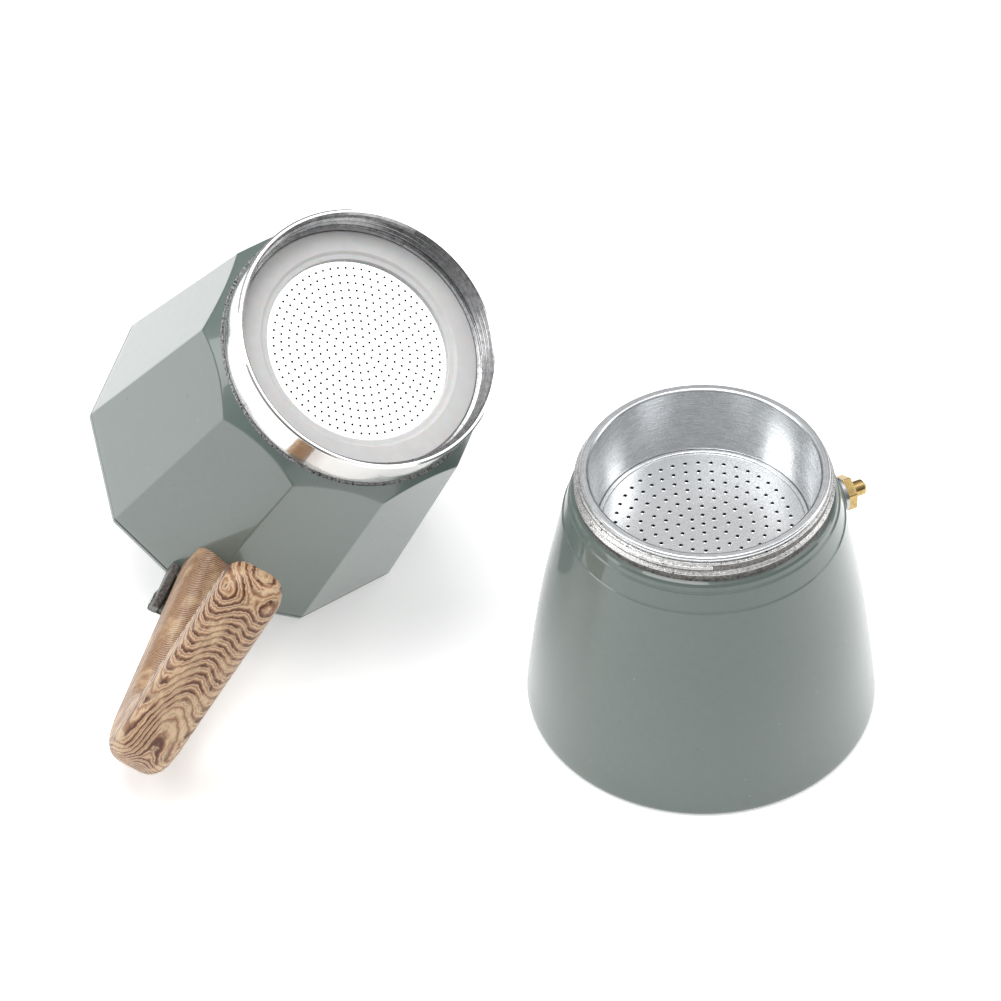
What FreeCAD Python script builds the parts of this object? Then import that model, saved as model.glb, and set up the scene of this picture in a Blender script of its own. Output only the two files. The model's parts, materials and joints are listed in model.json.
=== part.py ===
# Stovetop moka pot, taken apart: the boiler stands upright with its funnel inside, and the
# collector lies upside down beside it, resting on its lid knob and on one corner of its lid.
# Millimetres. Origin: centre of the boiler's base. +Z up, +X to the boiler's right.

import FreeCAD
import Part

import math
import os

V = FreeCAD.Vector

# ---------------------------------------------------------------- driving dimensions
# boiler
BASE_RADIUS = 54.3
RIDGE_RADIUS = 42.2            # crisp ridge where the bell wall meets the sloped shoulder
RIDGE_HEIGHT = 75.3
SHOULDER_RADIUS = 40.3
SHOULDER_HEIGHT = 6.4          # ridge to the top of the shoulder
NECK_STEP_RADIUS = 39.3
NECK_STEP_HEIGHT = 2.1
BOILER_WALL = 2.4
BOILER_FLOOR = 3.0
BASE_EDGE_RADIUS = 2.6

# screw thread between boiler and collector
THREAD_CREST = 38.5            # outer radius of the boiler's thread
THREAD_DEPTH = 0.9
THREAD_PITCH = 2.5
THREAD_TURNS = 1.75
THREAD_CLEARANCE = 0.35        # radial, between the two crests
COLLAR_TURNS = 2.5
NECK_LENGTH = 9.8              # top of the shoulder to the boiler's rim

# funnel
FUNNEL_RIM_RADIUS = 37.0
FUNNEL_RIM_HEIGHT = 1.6
FUNNEL_TOP_RADIUS = 34.2       # inside, at the mouth
FUNNEL_FLOOR_RADIUS = 31.8     # inside, at the perforated disc
FUNNEL_DEPTH = 23.0
FUNNEL_WALL = 0.6
FUNNEL_FIT = 0.5               # radial gap between the cup and the boiler's neck
FUNNEL_UNDER_DISC = 3.0
FUNNEL_CONE_HEIGHT = 6.0
STEM_RADIUS = 5.5
STEM_WALL = 0.8
STEM_SOCKET = 6.0
STEM_CLEARANCE_BELOW = 4.0     # stem end above the boiler's inner floor
FUNNEL_DISC_THICKNESS = 0.5
FUNNEL_HOLE_RADIUS = 0.4
FUNNEL_HOLE_PITCH = 3.75
DISC_CLEARANCE = 0.05

# safety valve
VALVE_HEIGHT = 62.0
VALVE_AZIMUTH = 23.9
VALVE_BOSS_RADIUS = 5.8
VALVE_BOSS_FACE = 46.2         # distance of the boss's flat face from the boiler's axis
VALVE_SHANK_RADIUS = 4.0
VALVE_HEX_FLATS = 9.8
VALVE_HEX_LENGTH = 3.0
VALVE_STUB_RADIUS = 2.45
VALVE_STUB_LENGTH = 4.4
VALVE_INNER_LENGTH = 7.0       # shank inside the boss face
VALVE_BORE = 2.5
VALVE_PIN_RADIUS = 1.2
VALVE_PIN_CLEARANCE = 0.08
VALVE_PIN_SHOWS = 0.9
VALVE_DISC_RADIUS = 2.2
VALVE_DISC_THICKNESS = 1.0
VALVE_RETAINER_THICKNESS = 1.2
VALVE_WASHER_THICKNESS = 1.0
VALVE_WASHER_RADIUS = 5.4
VALVE_SPRING_WIRE = 0.4
VALVE_SPRING_TURNS = 5

# collector: lengths run from the rim plane towards the screw collar
FACETS = 10
RIM_CORNER_RADIUS = 57.0
NEAR_CORNER_RADIUS = 46.2      # where the arrises meet the conical shoulder
NEAR_CORNER_PLACE = 78.8
COLLECTOR_LENGTH = 98.0
COLLECTOR_WALL = 2.6
COLLAR_RADIUS = 41.4
COLLAR_LENGTH = 14.2
CHAMBER_FLOOR = 74.0
SEAT_DEPTH = 10.8              # collar front to the gasket's seat
GASKET_THICKNESS = 2.0
GASKET_RADIUS = 38.0
GASKET_HOLE_RADIUS = 28.8
PLATE_RADIUS = 31.5
PLATE_THICKNESS = 0.8
PLATE_CLEARANCE = 0.2
PLATE_LEDGE = 1.7
PLATE_HOLE_RADIUS = 0.3
PLATE_HOLE_PITCH = 2.42
PLATE_HOLE_RINGS = 11
DOME_DEPTH = 7.0
RIM_PLANE_GAP = 0.1            # collector rim to the closed lid

# coffee spout of the collector, opposite the handle
SPOUT_REACH = 12.0
SPOUT_HALF_WIDTH = 15.0
SPOUT_DROP = 34.0

# riser column
RISER_BASE_RADIUS = 9.5
RISER_TIP_RADIUS = 6.6
RISER_TIP_PLACE = 24.0
RISER_BORE = 3.6
RISER_SPIGOT_RADIUS = 6.0
RISER_FLANGE = 2.0
RISER_OUTLET_WIDTH = 4.0
RISER_OUTLET_HEIGHT = 7.0
RISER_CAP = 2.2

# handle, in the plane through the collector's axis
HANDLE_WIDTH = 18.8
HANDLE_THICKNESS = 15.9
HANDLE_ROOT_TOP = 3.0
HANDLE_ROOT_BOTTOM = 25.0
HANDLE_BEND_REACH = 125.0
HANDLE_BEND_PLACE = 11.3
HANDLE_END_REACH = 85.0
HANDLE_END_PLACE = 80.8
HANDLE_EDGE_ROUNDING = 6.0
HANDLE_OUTER_BEND = 19.0
HANDLE_INNER_BEND = 8.0
LUG_WIDTH = 7.0
LUG_HEIGHT = 12.0
LUG_REACH = 16.0
LUG_CLEARANCE = 0.2
SCREW_RADIUS = 1.8
SCREW_HEAD_RADIUS = 3.4
SCREW_HEAD_HEIGHT = 2.0

# lid and its hinge
LID_EDGE_THICKNESS = 2.4
LID_DOME_RISE = 8.4
LID_DOME_CORNER = 53.0
LID_TOP_CORNER = 12.0
LID_WALL = 2.0
HINGE_REACH = 63.5
HINGE_RISE = 2.4               # pin axis above the rim plane
HINGE_PIN_RADIUS = 1.5
HINGE_CLEARANCE = 0.06
HINGE_KNUCKLE_RADIUS = 3.4
HINGE_KNUCKLE_HALF = 9.0
HINGE_EAR_THICKNESS = 2.6
HINGE_WEB_HEIGHT = 6.5           # of the ears' web, below the rim plane
HINGE_SIDE_GAP = 0.4

# knob
KNOB_TOP_RADIUS = 9.0
KNOB_TOP_ROUNDING = 1.2
KNOB_WAIST_RADIUS = 5.6
KNOB_FOOT_RADIUS = 8.0
KNOB_HEIGHT = 24.2
KNOB_SCREW_RADIUS = 2.0
KNOB_SCREW_LENGTH = 14.0
KNOB_SCREW_HEAD = 3.6
KNOB_WASHER_RADIUS = 6.0
KNOB_WASHER_THICKNESS = 0.8

# where the collector lies
LEAN_AZIMUTH = -45.0           # the way the collar leans from upright
LEAN_TURN = 62.7               # from the handle's arris to that way, in the rim plane
REST_PLACE_X = -136.0
REST_PLACE_Y = 78.2

# ---------------------------------------------------------------- sizes that follow
STEP = 360.0 / FACETS
HALF_STEP = math.radians(STEP / 2)
SHOULDER_TOP = RIDGE_HEIGHT + SHOULDER_HEIGHT
BOILER_RIM = SHOULDER_TOP + NECK_LENGTH
THREAD_ROOT = THREAD_CREST - THREAD_DEPTH
NECK_BORE = FUNNEL_TOP_RADIUS + FUNNEL_WALL + FUNNEL_FIT
FUNNEL_FLOOR = BOILER_RIM + FUNNEL_RIM_HEIGHT - FUNNEL_DEPTH
COLLAR_THREAD_CREST = THREAD_CREST + THREAD_CLEARANCE
COLLAR_BORE = COLLAR_THREAD_CREST + THREAD_DEPTH * 0.85
SEAT_PLACE = COLLECTOR_LENGTH - SEAT_DEPTH
SIDE_TAPER = (RIM_CORNER_RADIUS - NEAR_CORNER_RADIUS) / NEAR_CORNER_PLACE
LID_TOP_EDGE = LID_EDGE_THICKNESS - RIM_PLANE_GAP
LID_DOME_TOP = LID_TOP_EDGE + LID_DOME_RISE
KNOB_TOP = LID_DOME_TOP + KNOB_HEIGHT


# ---------------------------------------------------------------- helpers
def wire_face(edges):
    """Face inside a closed loop of edges."""
    return Part.Face(Part.Wire(edges))


def polygon_edges(points):
    """Straight edges through points given as (radius, height), not closed."""
    corners = [V(radius, 0, height) for radius, height in points]
    return [Part.LineSegment(a, b).toShape() for a, b in zip(corners, corners[1:])]


def turned(points):
    """Solid of revolution about Z from a closed outline of (radius, height) points."""
    edges = polygon_edges(list(points) + [points[0]])
    return wire_face(edges).revolve(V(0, 0, 0), V(0, 0, 1), 360)


def cylinder(radius, low, high):
    return Part.makeCylinder(radius, high - low, V(0, 0, low))


def tube(outer, inner, low, high):
    return cylinder(outer, low, high).cut(cylinder(inner, low - 1, high + 1))


def corner_radius(place):
    """Collector's arris radius at a place along its axis."""
    return RIM_CORNER_RADIUS - SIDE_TAPER * place


def facet_wire(radius, place):
    """Regular outline with one corner on +X."""
    corners = []
    for k in range(FACETS + 1):
        angle = math.radians(STEP * k)
        corners.append(V(radius * math.cos(angle), radius * math.sin(angle), place))
    return Part.makePolygon(corners)


def faceted(radius_a, place_a, radius_b, place_b):
    """Solid between two regular outlines."""
    wires = [facet_wire(radius_a, place_a), facet_wire(radius_b, place_b)]
    return Part.makeLoft(wires, True, True)


def faceted_along(inset, place_a, place_b):
    """Collector's tapered outline moved inwards by a wall."""
    shrink = inset / math.cos(HALF_STEP)
    return faceted(corner_radius(place_a) - shrink, place_a,
                   corner_radius(place_b) - shrink, place_b)


def thread_ridge(root, crest, start, turns):
    """Helical ridge of triangular section between two radii, on Z."""
    lean = math.copysign(0.15, root - crest)
    helix = Part.makeHelix(THREAD_PITCH, THREAD_PITCH * turns, root)
    half = THREAD_PITCH * 0.4
    tip = THREAD_PITCH * 0.08
    outline = [
        V(root + lean, 0, -half),
        V(crest, 0, -tip),
        V(crest, 0, tip),
        V(root + lean, 0, half),
        V(root + lean, 0, -half),
    ]
    ridge = Part.Wire(helix.Edges).makePipeShell([Part.makePolygon(outline)], True, True)
    ridge.translate(V(0, 0, start))
    return ridge


def hole_grid(pitch, rings):
    """Centres of concentric rings of holes, six more on each ring."""
    centres = [(0.0, 0.0)]
    for ring in range(1, rings + 1):
        count = 6 * ring
        for k in range(count):
            angle = 2 * math.pi * (k + 0.5 * (ring % 2)) / count
            centres.append((pitch * ring * math.cos(angle), pitch * ring * math.sin(angle)))
    return centres


def perforated(radius, thickness, place, hole_radius, centres):
    """Flat round plate with small holes."""
    loops = [Part.Wire(Part.makeCircle(radius, V(0, 0, place)))]
    for x, y in centres:
        loops.append(Part.Wire(Part.makeCircle(hole_radius, V(x, y, place))))
    return Part.Face(loops, "Part::FaceMakerBullseye").extrude(V(0, 0, thickness))


def extruded_plate(points, half_width):
    """Plate in the XZ plane, as wide as twice half_width along Y."""
    corners = [V(x, -half_width, z) for x, z in points]
    return Part.Face(Part.makePolygon(corners + [corners[0]])).extrude(V(0, 2 * half_width, 0))


def across(radius, reach, place, low, high):
    """Cylinder along Y."""
    return Part.makeCylinder(radius, high - low, V(reach, low, place), V(0, 1, 0))


# ---------------------------------------------------------------- boiler
def bell_curve(inset, low):
    """Curved wall of the boiler from a height up to the ridge, moved inwards by a wall."""
    stations = [(0.0, 1.0), (0.22, 0.835), (0.44, 0.653), (0.63, 0.455), (0.81, 0.231), (1.0, 0.0)]
    points = []
    for height_share, radius_share in stations:
        radius = RIDGE_RADIUS + radius_share * (BASE_RADIUS - RIDGE_RADIUS) - inset
        points.append(V(radius, 0, low + height_share * (RIDGE_HEIGHT - low)))
    curve = Part.BSplineCurve()
    curve.interpolate(points)
    return curve.toShape(), points[0], points[-1]


def boiler_shell():
    wall, foot, ridge = bell_curve(0, 0)
    inner, inner_foot, inner_ridge = bell_curve(BOILER_WALL, BOILER_FLOOR)
    step_top = SHOULDER_TOP + NECK_STEP_HEIGHT
    upper = [
        (ridge.x, ridge.z),
        (SHOULDER_RADIUS, SHOULDER_TOP),
        (SHOULDER_RADIUS - 0.5, SHOULDER_TOP + 0.5),
        (NECK_STEP_RADIUS, step_top),
        (NECK_STEP_RADIUS - 0.4, step_top + 0.4),
        (THREAD_ROOT, step_top + 1.0),
        (THREAD_ROOT, BOILER_RIM - 0.5),
        (THREAD_ROOT - 0.5, BOILER_RIM),
        (0, BOILER_RIM),
        (0, 0),
        (foot.x, 0),
    ]
    body = wire_face([wall] + polygon_edges(upper)).revolve(V(0, 0, 0), V(0, 0, 1), 360)
    bottom = [edge for edge in body.Edges if edge.BoundBox.ZMax < 0.01 and len(edge.Vertexes) == 1]
    body = body.makeFillet(BASE_EDGE_RADIUS, bottom)
    start = step_top + THREAD_PITCH * 0.85
    body = body.fuse(thread_ridge(THREAD_ROOT, THREAD_CREST, start, THREAD_TURNS))
    hollow = [
        (inner_ridge.x, inner_ridge.z),
        (NECK_BORE, SHOULDER_TOP),
        (NECK_BORE, BOILER_RIM + 1),
        (0, BOILER_RIM + 1),
        (0, BOILER_FLOOR),
        (inner_foot.x, BOILER_FLOOR),
    ]
    chamber = wire_face([inner] + polygon_edges(hollow)).revolve(V(0, 0, 0), V(0, 0, 1), 360)
    boss = Part.makeCylinder(VALVE_BOSS_RADIUS, VALVE_INNER_LENGTH,
                             V(VALVE_BOSS_FACE - VALVE_INNER_LENGTH + 1, 0, VALVE_HEIGHT), V(1, 0, 0))
    boss.translate(V(-1, 0, 0))
    hole = Part.makeCylinder(VALVE_SHANK_RADIUS, BASE_RADIUS, V(1, 0, VALVE_HEIGHT), V(1, 0, 0))
    for cutter in (boss, hole):
        cutter.rotate(V(0, 0, 0), V(0, 0, 1), VALVE_AZIMUTH)
    shell = body.cut(chamber).fuse(boss).cut(hole)
    return shell.removeSplitter()


# ---------------------------------------------------------------- safety valve
def along_valve(shape):
    """Moves a piece drawn on +Z, from the boss face, to the valve's place."""
    shape = shape.copy()
    shape.rotate(V(0, 0, 0), V(0, 1, 0), 90)
    shape.translate(V(VALVE_BOSS_FACE, 0, VALVE_HEIGHT))
    shape.rotate(V(0, 0, 0), V(0, 0, 1), VALVE_AZIMUTH)
    return shape


def valve_pieces():
    hex_low = VALVE_WASHER_THICKNESS
    hex_high = hex_low + VALVE_HEX_LENGTH
    stub_high = hex_high + VALVE_STUB_LENGTH
    inner_end = -VALVE_INNER_LENGTH
    seat = inner_end + VALVE_RETAINER_THICKNESS
    bore_end = hex_high - 1.0
    corner = VALVE_HEX_FLATS / 2 / math.cos(math.radians(30))
    corners = []
    for k in range(7):
        angle = math.radians(60 * k)
        corners.append(V(corner * math.cos(angle), corner * math.sin(angle), hex_low))
    nut = Part.Face(Part.makePolygon(corners)).extrude(V(0, 0, VALVE_HEX_LENGTH))
    bevel = turned([(0, hex_low), (corner - 0.5, hex_low), (corner, hex_low + 0.4),
                    (corner, hex_high - 0.4), (corner - 0.5, hex_high), (0, hex_high)])
    stub = turned([(0, hex_high), (VALVE_STUB_RADIUS, hex_high), (VALVE_STUB_RADIUS, stub_high - 1.2),
                   (VALVE_STUB_RADIUS - 0.3, stub_high - 0.4), (VALVE_STUB_RADIUS - 0.8, stub_high),
                   (0, stub_high)])
    shank = cylinder(VALVE_SHANK_RADIUS, inner_end, hex_low)
    body = nut.common(bevel).fuse(stub).fuse(shank)
    body = body.cut(cylinder(VALVE_BORE, inner_end - 1, bore_end))
    body = body.cut(cylinder(VALVE_PIN_RADIUS + VALVE_PIN_CLEARANCE, 0, stub_high + 1))
    washer = tube(VALVE_WASHER_RADIUS, VALVE_SHANK_RADIUS, 0, VALVE_WASHER_THICKNESS)
    retainer = tube(VALVE_BORE, VALVE_PIN_RADIUS, inner_end, seat)
    disc_top = seat + VALVE_DISC_THICKNESS
    pin = cylinder(VALVE_DISC_RADIUS, seat, disc_top)
    pin = pin.fuse(turned([(0, disc_top), (VALVE_PIN_RADIUS, disc_top),
                           (VALVE_PIN_RADIUS, stub_high + VALVE_PIN_SHOWS - 0.5),
                           (VALVE_PIN_RADIUS - 0.5, stub_high + VALVE_PIN_SHOWS),
                           (0, stub_high + VALVE_PIN_SHOWS)]))
    wire_radius = VALVE_SPRING_WIRE / 2
    coil_radius = VALVE_DISC_RADIUS - 2 * wire_radius + 0.15
    length = bore_end - disc_top - VALVE_SPRING_WIRE
    helix = Part.makeHelix(length / VALVE_SPRING_TURNS, length, coil_radius)
    section = []
    for k in range(9):
        angle = math.radians(45 * k + 22.5)
        section.append(V(coil_radius + wire_radius * math.cos(angle), 0, wire_radius * math.sin(angle)))
    spring = Part.Wire(helix.Edges).makePipeShell([Part.makePolygon(section)], True, True)
    spring.translate(V(0, 0, disc_top + wire_radius))
    pieces = {
        "valve_body": body.removeSplitter(),
        "valve_washer": washer,
        "valve_retainer": retainer,
        "valve_pin": pin.removeSplitter(),
        "valve_spring": spring,
    }
    return {name: along_valve(shape) for name, shape in pieces.items()}


# ---------------------------------------------------------------- funnel
def funnel_pieces():
    rim_top = BOILER_RIM + FUNNEL_RIM_HEIGHT
    cone_top = FUNNEL_FLOOR - FUNNEL_UNDER_DISC
    cone_low = cone_top - FUNNEL_CONE_HEIGHT
    socket_low = cone_low - STEM_SOCKET
    ledge = FUNNEL_FLOOR_RADIUS - 1.5
    wall = FUNNEL_WALL
    basket = turned([
        (FUNNEL_TOP_RADIUS, rim_top - 0.4),
        (FUNNEL_TOP_RADIUS + 0.4, rim_top),
        (FUNNEL_RIM_RADIUS - 0.5, rim_top),
        (FUNNEL_RIM_RADIUS, rim_top - 0.5),
        (FUNNEL_RIM_RADIUS, BOILER_RIM + 0.4),
        (FUNNEL_RIM_RADIUS - 0.4, BOILER_RIM),
        (FUNNEL_TOP_RADIUS + wall, BOILER_RIM),
        (FUNNEL_FLOOR_RADIUS + wall, FUNNEL_FLOOR),
        (ledge + wall, FUNNEL_FLOOR - 1.0),
        (ledge + wall, cone_top),
        (STEM_RADIUS + wall, cone_low),
        (STEM_RADIUS + wall, socket_low),
        (STEM_RADIUS, socket_low),
        (STEM_RADIUS, cone_low + 0.4),
        (ledge, cone_top + 0.4),
        (ledge, FUNNEL_FLOOR - 0.2),
        (FUNNEL_FLOOR_RADIUS, FUNNEL_FLOOR - 0.2),
    ])
    stem_low = BOILER_FLOOR + STEM_CLEARANCE_BELOW
    stem = tube(STEM_RADIUS, STEM_RADIUS - STEM_WALL, stem_low, cone_low)
    mouth = Part.makeBox(2 * STEM_RADIUS + 2, 1.6, 3.0, V(-STEM_RADIUS - 1, -0.8, stem_low - 1))
    rings = int((FUNNEL_FLOOR_RADIUS - 1.0) / FUNNEL_HOLE_PITCH)
    disc = perforated(FUNNEL_FLOOR_RADIUS - DISC_CLEARANCE, FUNNEL_DISC_THICKNESS,
                      FUNNEL_FLOOR - 0.2, FUNNEL_HOLE_RADIUS, hole_grid(FUNNEL_HOLE_PITCH, rings))
    return {
        "funnel_basket": basket,
        "funnel_stem": stem.cut(mouth),
        "funnel_disc": disc,
    }


# ---------------------------------------------------------------- collector, in its own frame
def spout_wedge(inset):
    """Beak opposite the handle, moved inwards by a wall."""
    top = -1.0 if inset else 0.0
    arris = corner_radius(SPOUT_DROP)
    left = V(-RIM_CORNER_RADIUS + 6, SPOUT_HALF_WIDTH + 3 - inset * 1.2, top)
    right = V(left.x, -left.y, top)
    tip = V(-RIM_CORNER_RADIUS - SPOUT_REACH + inset * 1.6, 0, top)
    foot = V(-arris + 0.5 + inset * 1.3, 0, SPOUT_DROP - inset)
    back = V(left.x + 12, 0, SPOUT_DROP * 0.5)
    faces = []
    for corners in ((left, right, tip), (left, tip, foot), (tip, right, foot),
                    (left, foot, back), (foot, right, back), (right, left, back)):
        faces.append(Part.Face(Part.makePolygon(list(corners) + [corners[0]])))
    solid = Part.Solid(Part.Shell(faces))
    if solid.Volume < 0:
        solid.reverse()
    return solid


def hinge_ears():
    """Two cast ears that hold the hinge pin beside the handle's root."""
    ears = []
    low = HINGE_KNUCKLE_HALF + HINGE_SIDE_GAP
    high = low + HINGE_EAR_THICKNESS
    root = corner_radius(0) - 6.5
    web = [(root, 0.0), (root, HINGE_WEB_HEIGHT), (root + 4.0, HINGE_WEB_HEIGHT), (HINGE_REACH + HINGE_KNUCKLE_RADIUS, 1.5),
           (HINGE_REACH + HINGE_KNUCKLE_RADIUS, -HINGE_RISE), (HINGE_REACH - HINGE_KNUCKLE_RADIUS, -HINGE_RISE),
           (HINGE_REACH - HINGE_KNUCKLE_RADIUS, 0.0)]
    for side in (-1, 1):
        ear = extruded_plate(web, HINGE_EAR_THICKNESS / 2)
        ear.translate(V(0, side * (low + high) / 2, 0))
        edge_a, edge_b = sorted((side * low, side * high))
        ears.append(ear.fuse(across(HINGE_KNUCKLE_RADIUS, HINGE_REACH, -HINGE_RISE, edge_a, edge_b)))
    return ears


def outer_limit():
    """Turned outline that cuts the facets to the conical shoulder and the round collar."""
    wide = RIM_CORNER_RADIUS + SPOUT_REACH + 5
    collar_low = COLLECTOR_LENGTH - COLLAR_LENGTH
    slope = (NEAR_CORNER_RADIUS - COLLAR_RADIUS - 0.6) / (collar_low - NEAR_CORNER_PLACE)
    start = NEAR_CORNER_PLACE - (wide - NEAR_CORNER_RADIUS) / slope
    return turned([
        (0, min(start, 0) - 5),
        (wide, min(start, 0) - 5),
        (wide, start),
        (COLLAR_RADIUS + 0.6, collar_low),
        (COLLAR_RADIUS, collar_low + 0.3),
        (COLLAR_RADIUS, COLLECTOR_LENGTH - 0.5),
        (COLLAR_RADIUS - 0.5, COLLECTOR_LENGTH),
        (0, COLLECTOR_LENGTH),
    ])


def handle_lug():
    """Cast lug under the rim that carries the handle."""
    middle = (HANDLE_ROOT_TOP + HANDLE_ROOT_BOTTOM) / 2
    reach = corner_radius(middle) + LUG_REACH
    root = corner_radius(0) - 6.0
    return Part.makeBox(reach - root, LUG_WIDTH, LUG_HEIGHT, V(root, -LUG_WIDTH / 2, middle - LUG_HEIGHT / 2))


def collector_casting():
    """Jug and screw collar are one casting, kept as two solids that meet at the gasket's seat."""
    outside = faceted_along(0, 0, COLLECTOR_LENGTH).fuse(spout_wedge(0))
    outside = outside.common(outer_limit())
    for piece in hinge_ears() + [handle_lug()]:
        outside = outside.fuse(piece)
    chamber = faceted_along(COLLECTOR_WALL, -12, CHAMBER_FLOOR)
    plate_low = SEAT_PLACE - PLATE_THICKNESS
    under = turned([
        (0, plate_low - DOME_DEPTH),
        (RISER_SPIGOT_RADIUS, plate_low - DOME_DEPTH),
        (PLATE_RADIUS - PLATE_LEDGE, plate_low),
        (PLATE_RADIUS + PLATE_CLEARANCE, plate_low),
        (PLATE_RADIUS + PLATE_CLEARANCE, SEAT_PLACE),
        (GASKET_RADIUS + PLATE_CLEARANCE, SEAT_PLACE),
        (GASKET_RADIUS + PLATE_CLEARANCE, SEAT_PLACE + GASKET_THICKNESS - 0.4),
        (COLLAR_BORE, SEAT_PLACE + GASKET_THICKNESS),
        (COLLAR_BORE, COLLECTOR_LENGTH - 0.6),
        (COLLAR_BORE + 0.6, COLLECTOR_LENGTH + 0.1),
        (0, COLLECTOR_LENGTH + 0.1),
    ])
    riser_hole = cylinder(RISER_SPIGOT_RADIUS, CHAMBER_FLOOR - 1, plate_low)
    middle = (HANDLE_ROOT_TOP + HANDLE_ROOT_BOTTOM) / 2
    screw_hole = cylinder(SCREW_RADIUS, HANDLE_ROOT_TOP, middle + LUG_HEIGHT / 2 - 1.5)
    screw_hole.translate(V(corner_radius(middle) + LUG_REACH - 6, 0, 0))
    pin_hole = across(HINGE_PIN_RADIUS, HINGE_REACH, -HINGE_RISE, -30, 30)
    shell = outside
    for cutter in (chamber, spout_wedge(COLLECTOR_WALL), under, riser_hole, screw_hole, pin_hole):
        shell = shell.cut(cutter)
    start = SEAT_PLACE + GASKET_THICKNESS + THREAD_PITCH * 0.55
    ridge = thread_ridge(COLLAR_BORE, COLLAR_THREAD_CREST, start, COLLAR_TURNS)
    shell = shell.fuse(ridge.common(cylinder(COLLAR_RADIUS, 0, COLLECTOR_LENGTH - 0.3)))
    above_seat = cylinder(COLLAR_RADIUS + 1, SEAT_PLACE, COLLECTOR_LENGTH + 1)
    return {
        "collector_shell": shell.cut(above_seat).removeSplitter(),
        "screw_collar": shell.common(above_seat).removeSplitter(),
    }


def riser_column():
    flange_low = CHAMBER_FLOOR - RISER_FLANGE
    spigot_end = SEAT_PLACE - PLATE_THICKNESS - DOME_DEPTH
    body = turned([
        (0, RISER_TIP_PLACE),
        (RISER_TIP_RADIUS - 1.2, RISER_TIP_PLACE),
        (RISER_TIP_RADIUS, RISER_TIP_PLACE + 1.2),
        (RISER_BASE_RADIUS - 1.0, flange_low),
        (RISER_BASE_RADIUS + 2.5, CHAMBER_FLOOR),
        (RISER_SPIGOT_RADIUS, CHAMBER_FLOOR),
        (RISER_SPIGOT_RADIUS, spigot_end),
        (0, spigot_end),
    ])
    bore_end = RISER_TIP_PLACE + RISER_CAP
    body = body.cut(cylinder(RISER_BORE, bore_end, spigot_end + 1))
    outlet = Part.makeBox(4 * RISER_BASE_RADIUS, RISER_OUTLET_WIDTH, RISER_OUTLET_HEIGHT,
                          V(-2 * RISER_BASE_RADIUS, -RISER_OUTLET_WIDTH / 2, bore_end))
    return body.cut(outlet)


def gasket():
    low = SEAT_PLACE
    high = SEAT_PLACE + GASKET_THICKNESS
    return turned([
        (GASKET_HOLE_RADIUS, low),
        (GASKET_RADIUS, low),
        (GASKET_RADIUS, high - 0.5),
        (GASKET_RADIUS - 0.5, high),
        (GASKET_HOLE_RADIUS + 2.4, high),
        (GASKET_HOLE_RADIUS + 1.2, high - 0.7),
        (GASKET_HOLE_RADIUS, high - 0.9),
    ])


def filter_plate():
    return perforated(PLATE_RADIUS, PLATE_THICKNESS, SEAT_PLACE - PLATE_THICKNESS,
                      PLATE_HOLE_RADIUS, hole_grid(PLATE_HOLE_PITCH, PLATE_HOLE_RINGS))


# ---------------------------------------------------------------- handle
def line_meet(point_a, way_a, point_b, way_b):
    """Where two lines in the handle's plane cross."""
    cross = way_a[0] * way_b[1] - way_a[1] * way_b[0]
    dx = point_b[0] - point_a[0]
    dz = point_b[1] - point_a[1]
    share = (dx * way_b[1] - dz * way_b[0]) / cross
    return (point_a[0] + share * way_a[0], point_a[1] + share * way_a[1])


def rounded_along_y(solid, place, radius):
    """Rounds the edge along Y that passes a place in the XZ plane."""
    chosen = []
    for edge in solid.Edges:
        box = edge.BoundBox
        if box.XLength > 0.01 or box.ZLength > 0.01:
            continue
        if abs(box.XMin - place[0]) < 0.01 and abs(box.ZMin - place[1]) < 0.01:
            chosen.append(edge)
    return solid.makeFillet(radius, chosen)


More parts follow.
